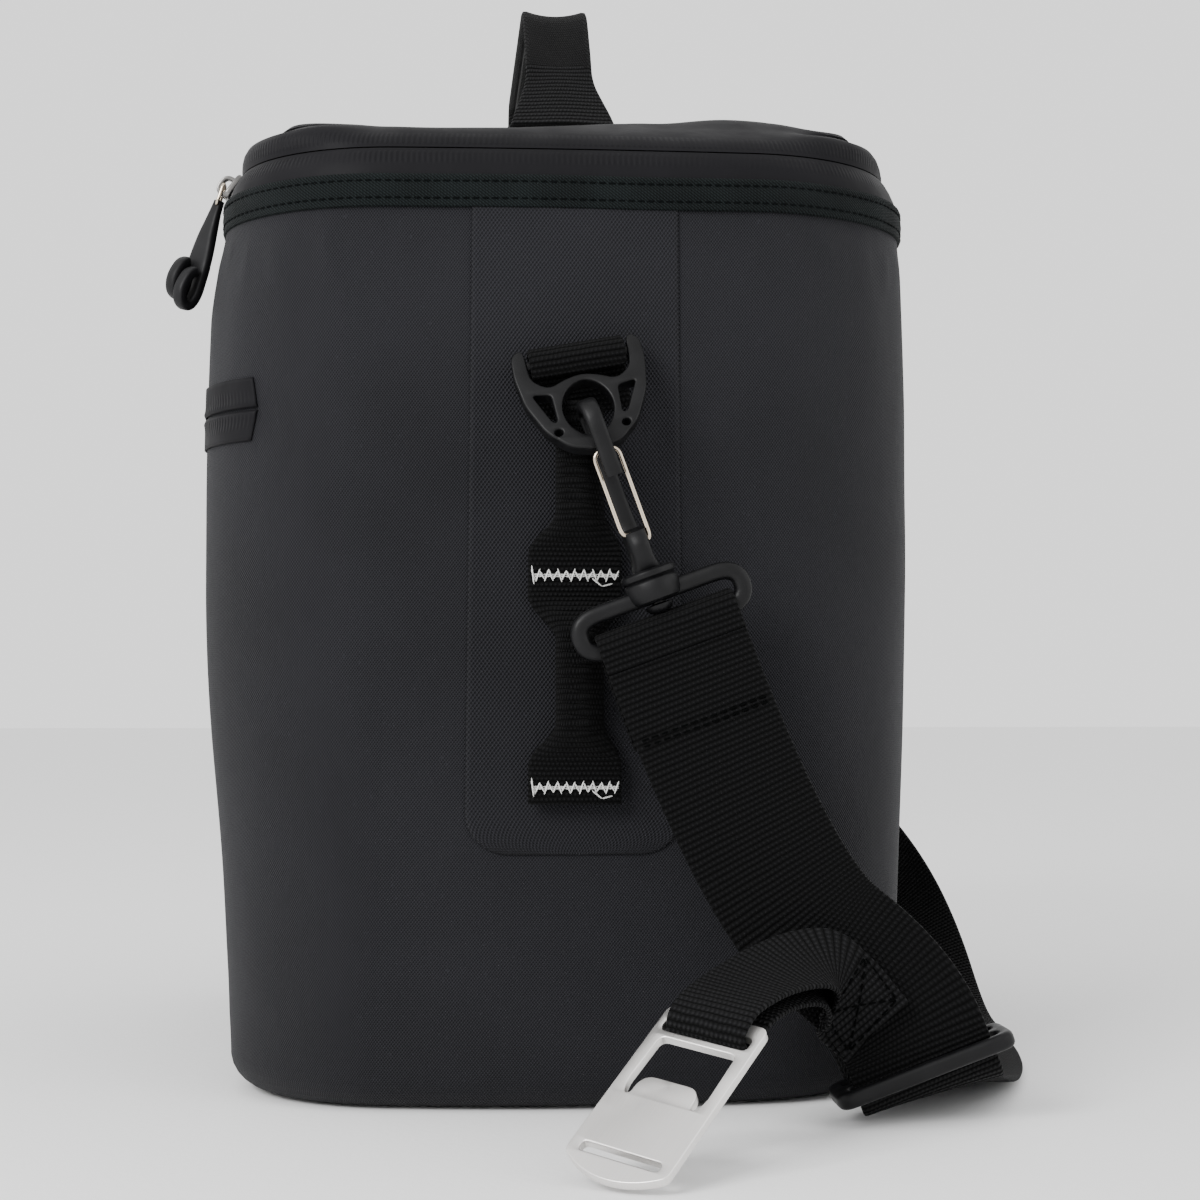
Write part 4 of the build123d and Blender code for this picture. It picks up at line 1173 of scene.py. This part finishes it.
def make_tacks():
    """White zigzag bar tacks over straight core threads, a few ends loose."""
    starts, ends = [], []
    for number, z in enumerate(TACK_Z):
        y = PANEL_Y - 2.75
        xs = np.linspace(-11.9, 11.3, 21)
        for index in range(len(xs) - 1):
            swing = 1.4 + 0.4 * math.sin(index * 2.3 + number)
            up = swing if index % 2 else -swing
            starts.append((xs[index], y - 0.1 * (index % 3), z - up))
            ends.append((xs[index + 1], y - 0.1 * (index % 2), z + up))
        for offset in (-0.3, 0.25):
            core = np.linspace(-11.5, 11.3, 9)
            for first, last in zip(core, core[1:]):
                starts.append((first, y + 0.15, z + offset))
                ends.append((last, y + 0.1, z + offset * 0.7))
        loose = [(-11.8, 2.6, -11.2, -2.4), (4.2, -0.8, 6.8, -2.9), (6.8, -2.9, 9.6, -2.2)]
        for x0, z0, x1, z1 in loose:
            starts.append((x0, y - 0.2, z + z0))
            ends.append((x1, y - 0.4, z + z1))
    piece = add_stitches("near_tack_threads", starts, ends, 0.24, "bag", "white_thread",
                         MATERIALS["white_thread"])
    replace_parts(piece, "near_bar_tacks")
    add_far(piece)


def hook_place():
    return Matrix.Translation(HOOK_AT) @ Matrix.Rotation(HOOK_TILT, 4, "Y")


def make_hook():
    """Snap hook seen on edge: spine behind, nose in front, and the block that takes the gate."""
    place = hook_place()
    top = 49.0
    spine = [(0, 1.5, 6.0), (0, 6.5, 13.0), (0, 6.5, 30.0), (0, 6.5, top), (0, -6.5, top),
             (0, -6.9, 34.0), (0, -6.6, 29.0)]
    line = soft_path(spine, 6.3, step=0.7)
    share = np.linspace(0, 1, len(line))
    wide = 2.7 - 0.45 * fade(share, 0.05, 0.25) + 0.35 * hill(share, 0.62, 0.12)
    thick = 1.7 - 0.25 * fade(share, 0.75, 1.0)
    shape = oval_section(1.0, 1.0, 20, 0.62)
    sections = shape[None] * np.stack([wide, thick], 1)[:, None]
    body = sweep("near_hook_frame", line, (1, 0, 0), sections, "near_hook", "moulded_plastic",
                 place=place, replaces=["near_snap_hook"])
    block_line = [(0, -0.6, 1.6), (0, -1.2, 6.0), (0, -2.0, 10.5), (0, -2.6, 14.2)]
    block_line = resampled(np.array(block_line, float), 0.7)
    share = np.linspace(0, 1, len(block_line))
    wide = 3.9 - 0.9 * fade(share, 0.0, 0.5)
    thick = 4.4 - 1.4 * fade(share, 0.7, 1.0) + 1.2 * fade(share, 0.1, 0.5)
    sections = shape[None] * np.stack([wide, thick], 1)[:, None]
    block = sweep("near_hook_block", block_line, (1, 0, 0), sections, "near_hook", "moulded_plastic",
                  place=place)
    wire = [(-1.0, -5.0, 13.4), (-3.4, -5.0, 13.4), (-3.4, -4.6, 36.2), (3.4, -4.6, 36.2),
            (3.4, -5.0, 10.6), (1.0, -5.0, 10.6)]
    gate_line = soft_path(wire, 2.6, step=0.5)
    gate = sweep("near_gate_wire", gate_line, (0, 1, 0), oval_section(0.55, 0.55, 12), "near_gate",
                 "nickel_wire", place=place, replaces=["near_hook_gate"])
    for piece in (body, block, gate):
        add_far(piece)


def make_swivel():
    """Eye with its flat arms, the collar round the hook's stem, and the rivet head below."""
    place = hook_place()
    loop = [(-EYE_HALF, -0.4, EYE_ARM_Z), (EYE_HALF, -0.4, EYE_ARM_Z), (EYE_HALF, 0, EYE_BAR_Z),
            (-EYE_HALF, 0, EYE_BAR_Z)]
    line = soft_path(loop, 6.5, step=0.8, closed=True)
    eye = sweep("near_eye", line, (0, 1, 0), oval_section(2.2, 2.35, 18, 0.8), "bag", "moulded_plastic",
                closed=True, place=place, replaces=["near_swivel_eye"])
    profile = [(2.0, 3.4), (6.6, 3.4), (7.3, 2.9), (7.5, 2.2), (7.3, 1.5), (6.7, 1.2), (6.5, 0.9),
               (7.0, 0.5), (7.3, 0.0), (7.2, -3.2), (6.6, -4.6), (5.6, -5.2), (4.4, -5.2), (4.2, -4.4),
               (2.0, -4.2)]
    collar = add_lathe("near_collar", profile, place, "bag", "moulded_plastic")
    dome = [(0.05, -8.4), (1.6, -8.3), (2.9, -7.8), (3.6, -6.9), (3.7, -6.1), (1.7, -5.7), (1.7, 1.0)]
    rivet = add_lathe("near_rivet", dome, place, "near_hook", "moulded_plastic",
                      replaces=["near_swivel_rivet"])
    for piece in (eye, collar, rivet):
        add_far(piece)


# ---------------------------------------------------------------- shoulder strap

def nurbs_line(points, resolution=14):
    """Points of the smooth spline that has the given control points."""
    curve = bpy.data.curves.new("route", "CURVE")
    curve.dimensions = "3D"
    curve.resolution_u = resolution
    spline = curve.splines.new("NURBS")
    spline.points.add(len(points) - 1)
    for point, at in zip(spline.points, points):
        point.co = (*at, 1.0)
    spline.order_u = 3
    spline.use_endpoint_u = True
    holder = bpy.data.objects.new("route", curve)
    mesh = bpy.data.meshes.new_from_object(holder)
    line = np.array([v.co for v in mesh.vertices])
    bpy.data.objects.remove(holder)
    bpy.data.curves.remove(curve)
    bpy.data.meshes.remove(mesh)
    return line


def strap_lines():
    """Centre line of the strap and its width's direction at each of its points."""
    route = np.array(STRAP_ROUTE)
    reach = unit(np.array(STRAP_ACROSS, float)) * 0.01
    centre = nurbs_line([tuple(p) for p in route])
    side = nurbs_line([tuple(p) for p in route + reach])
    return centre / MM, unit(side - centre)


def make_strap():
    centre, across = strap_lines()
    lengths = run_lengths(centre)
    at = np.linspace(0, lengths[-1], int(lengths[-1] / STRAP_STEP))
    line = at_distance(centre, lengths, at)
    ways = at_distance(across, lengths, at)
    strap = sweep("strap_webbing", line, ways, strip_section(STRAP_WIDTH, STRAP_PLY, 16), "bag", "webbing",
                  replaces=["strap_near_drop", "strap_floor_run", "strap_far_drop"])
    return strap, line, ways


def make_strap_fold():
    """Strap end carried over the eye's bar and sewn to the back of the strap."""
    bar = EYE_BAR_Z
    arc = [(0, 4.0 * math.cos(a), bar + 4.0 * math.sin(a)) for a in np.linspace(3.3, 0.1, 22)]
    line = [(0, -4.0, bar - 6.0)] + arc + [(0, 3.6, bar - 8.0), (0, 1.6, bar - 18.0), (0, 0.6, bar - 27.0)]
    path = resampled(np.array(line, float), 0.9)
    piece = sweep("near_strap_end_ply", path, (1, 0, 0), strip_section(STRAP_WIDTH, STRAP_PLY, 14), "bag",
                  "webbing", place=hook_place(), replaces=["near_strap_fold"])
    return [piece, add_far(piece)]


def strap_frame(line, ways, distance):
    """Point, width direction and outward direction at a distance along the strap."""
    lengths = run_lengths(line)
    at = at_distance(line, lengths, distance)
    after = at_distance(line, lengths, distance + 1.0)
    way = unit(at_distance(ways, lengths, distance))
    out = np.cross(after - at, way)
    return at, way, unit(out)


def on_strap(line, ways, across, distance, proud):
    at, way, out = strap_frame(line, ways, distance)
    if out[1] > 0:
        out = -out
    return at + way * across + out * proud


def sew_strap(name, line, ways, rows, proud):
    """Stitches along rows on a strap, each row from one (across, distance) to another."""
    starts, ends = [], []
    for (a0, d0), (a1, d1) in rows:
        count = max(int(math.hypot(a1 - a0, d1 - d0) / STITCH), 2)
        for index in range(count):
            t0, t1 = (index + 0.15) / count, (index + 0.85) / count
            starts.append(on_strap(line, ways, a0 + (a1 - a0) * t0, d0 + (d1 - d0) * t0, proud))
            ends.append(on_strap(line, ways, a0 + (a1 - a0) * t1, d0 + (d1 - d0) * t1, proud))
    return add_stitches(name, starts, ends, 0.3, "bag", "webbing", DARK_THREAD)


def make_strap_stitches(line, ways):
    rows = [[(-17.5, 25.0), (17.5, 25.0)], [(-17.5, 26.6), (17.5, 26.6)]]
    return sew_strap("strap_stitches", line, ways, rows, 1.0)


def make_tab_stitches(line, ways):
    """Crossed box that sews the tab to the strap."""
    box = [(-9.0, 1.5), (9.0, 1.5), (9.0, 15.0), (-9.0, 15.0)]
    rows = [[box[first], box[last]] for first, last in BOX_STITCH]
    return sew_strap("tab_stitches", line, ways, rows, 0.9)


def slider_frame():
    return (Matrix.Translation(SLIDER_AT) @ Matrix.Rotation(HOOK_TILT, 4, "Y")
            @ Matrix.Translation((0, 0, SLIDER_ABOVE_FOLD)))


def make_tri_glide():
    frame_loop = rounded_loop([(-24.5, -5.2), (24.5, -5.2), (24.5, 13.6), (-24.5, 13.6)], 4.6, 0.7)
    loops = [frame_loop]
    for y in (0.0, 7.4):
        loops.append(rounded_loop([(-20.4, y - 1.5), (20.4, y - 1.5), (20.4, y + 1.5), (-20.4, y + 1.5)], 1.2))
    return add_plate("strap_slider_frame", loops, 4.4, 1.5, slider_frame(), "strap_slider",
                     "moulded_plastic", replaces=["tri_glide"])


def make_strap_end():
    """Hemmed end of the strap, sewn round the slider's rear bar."""
    path = soft_path([(0, 24.0, 17.5), (0, 8.2, 3.6), (0, 7.3, -3.2), (0, 15.2, -3.4), (0, 15.8, 3.6),
                      (0, 27.0, 17.8)], 3.0, step=0.8)
    return sweep("strap_hem", path, (1, 0, 0), strip_section(STRAP_WIDTH, 1.5, 12), "strap_slider",
                 "webbing", material=MATERIALS["grip_webbing"], place=slider_frame(),
                 replaces=["strap_end_loop"])


def opener_place():
    """Frame with x across the opener, y up it and z off its face."""
    x = Vector(OPENER_ACROSS).normalized()
    z = Vector(OPENER_NORMAL)
    z = (z - z.dot(x) * x).normalized()
    y = z.cross(x)
    turn = Matrix((x, y, z)).transposed().to_4x4()
    return Matrix.Translation(OPENER_AT) @ turn


def make_opener():
    half, top, tip_rise, spread = OPENER_HALF, OPENER_TOP, 5.0, 0.66
    tip = top - OPENER_LENGTH
    arc = []
    for a in np.linspace(spread, -spread, 17):
        rise = 1 - (math.cos(a) - math.cos(spread)) / (1 - math.cos(spread))
        arc.append((half * math.sin(a) / math.sin(spread), tip + tip_rise * rise))
    outer = rounded_loop([(-half, top), (half, top)] + arc, 2.4, 0.7)
    slot = rounded_loop([(-12, -5.9), (12, -5.9), (12, -1.9), (-12, -1.9)], 1.5)
    right = [(10.6, -7.8), (11.0, -22.6), (9.9, -26.2), (8.2, -26.2), (8.3, -22.6), (6.4, -20.0)]
    window = rounded_loop(right + [(-x, y) for x, y in right[::-1]], 1.9, 0.4)
    end_slot = rounded_loop([(-11, tip + 5.8), (11, tip + 5.8), (11, tip + 8.6), (-11, tip + 8.6)], 1.3, 0.4)
    return add_plate("opener_plate", [outer, slot, window, end_slot], 2.4, 0.3, opener_place(), "opener",
                     "stainless_steel", replaces=["bottle_opener"])


def make_tab():
    """Two-ply tab: sewn along the strap, turned over, round the opener's top bar and back."""
    place = opener_place()
    bar_way = tuple(-(place.to_3x3() @ Vector((1, 0, 0))))
    upper = [(75.5, -170.3, 25.0), (68.5, -171.2, 33.5), (64.0, -178.2, 42.5), (55.0, -184.0, 44.5),
             (42.5, -194.0, 42.0)]
    lower = [(42.5, -191.5, 37.5), (54.0, -181.0, 39.5), (62.0, -175.6, 37.0), (67.0, -169.5, 31.5),
             (75.5, -168.8, 24.4)]
    round_bar = [(6.0, 3.6), (0.4, 4.3), (-3.6, 3.2), (-4.4, 0), (-3.4, -3.4), (0.4, -4.0),
                 (6.0, -2.0)]
    loop = [tuple(place @ Vector((0, y, z))) for y, z in round_bar]
    ways = [(0.69, 0, 0.72), (0.69, 0.05, 0.72), (0.18, 0.72, 0.67), (-0.42, 0.76, 0.50), (-0.68, 0.68, 0.25)]
    ways = ways + [bar_way] * len(loop) + ways[::-1]
    route = np.array(upper + loop + lower)
    centre = nurbs_line([tuple(p) for p in route * MM]) / MM
    reach = unit(np.array(ways, float)) * 10.0
    side = nurbs_line([tuple(p) for p in (route + reach) * MM]) / MM
    ways = unit(side - centre)
    piece = sweep("opener_tab", centre, ways, strip_section(TAB_WIDTH, TAB_PLY, 10), "bag", "webbing",
                  material=FOOT_WEBBING, replaces=["strap_tab"])
    return piece, make_tab_stitches(centre, ways)


# ---------------------------------------------------------------- stage

def make_camera():
    data = bpy.data.cameras.new("camera")
    data.lens = LENS
    data.sensor_width = 36.0
    camera = bpy.data.objects.new("camera", data)
    camera.location = CAMERA_AT
    camera.rotation_euler = (math.pi / 2 + CAMERA_TILT, 0.0, -CAMERA_PAN)
    bpy.context.scene.collection.objects.link(camera)
    bpy.context.scene.camera = camera


def add_area(name, at, target, size, power):
    data = bpy.data.lights.new(name, "AREA")
    data.size = size
    data.energy = power
    light = bpy.data.objects.new(name, data)
    light.location = at
    aim = Vector(target) - Vector(at)
    light.rotation_euler = aim.to_track_quat("-Z", "Y").to_euler()
    bpy.context.scene.collection.objects.link(light)


def make_stage():
    mesh = bpy.data.meshes.new("floor")
    reach = 6.0
    mesh.from_pydata([(-reach, -reach, 0), (reach, -reach, 0), (reach, reach, 0), (-reach, reach, 0)], [],
                     [(0, 1, 2, 3)])
    floor = bpy.data.objects.new("floor", mesh)
    floor.location = (0, 0, -0.0006)
    bpy.context.scene.collection.objects.link(floor)
    p = Paint("floor_paper", (0.86, 0.86, 0.86), 0.9, specular=0.1)
    p.bump(p.noise(400.0, 2.0), 0.0001)
    mesh.materials.append(p.material)
    world = bpy.data.worlds.new("studio")
    world.use_nodes = True
    world.node_tree.nodes["Background"].inputs["Color"].default_value = (1.0, 1.0, 1.0, 1.0)
    world.node_tree.nodes["Background"].inputs["Strength"].default_value = 1.5
    bpy.context.scene.world = world
    add_area("key", (-0.75, -0.95, 0.75), (0, 0, 0.15), 0.55, 18.0)
    add_area("fill", (0.9, -0.7, 0.5), (0.05, -0.1, 0.12), 0.7, 2.0)


# ---------------------------------------------------------------- make it all

make_camera()
strap, strap_line, strap_ways = make_strap()
folds = make_strap_fold()
strap_threads = make_strap_stitches(strap_line, strap_ways)
tri_glide = make_tri_glide()
hem = make_strap_end()
opener = make_opener()
tab, tab_threads = make_tab()

make_shell()
make_lining()
make_binding()
make_patch()
make_pocket_film()
make_zip_bands()
make_lid_lining()
make_hinge_film()
make_handle()
make_handle_feet()
make_zips()
make_dring()
make_ring_loop()
make_daisy()
make_tacks()
make_hook()
make_swivel()
make_stage()
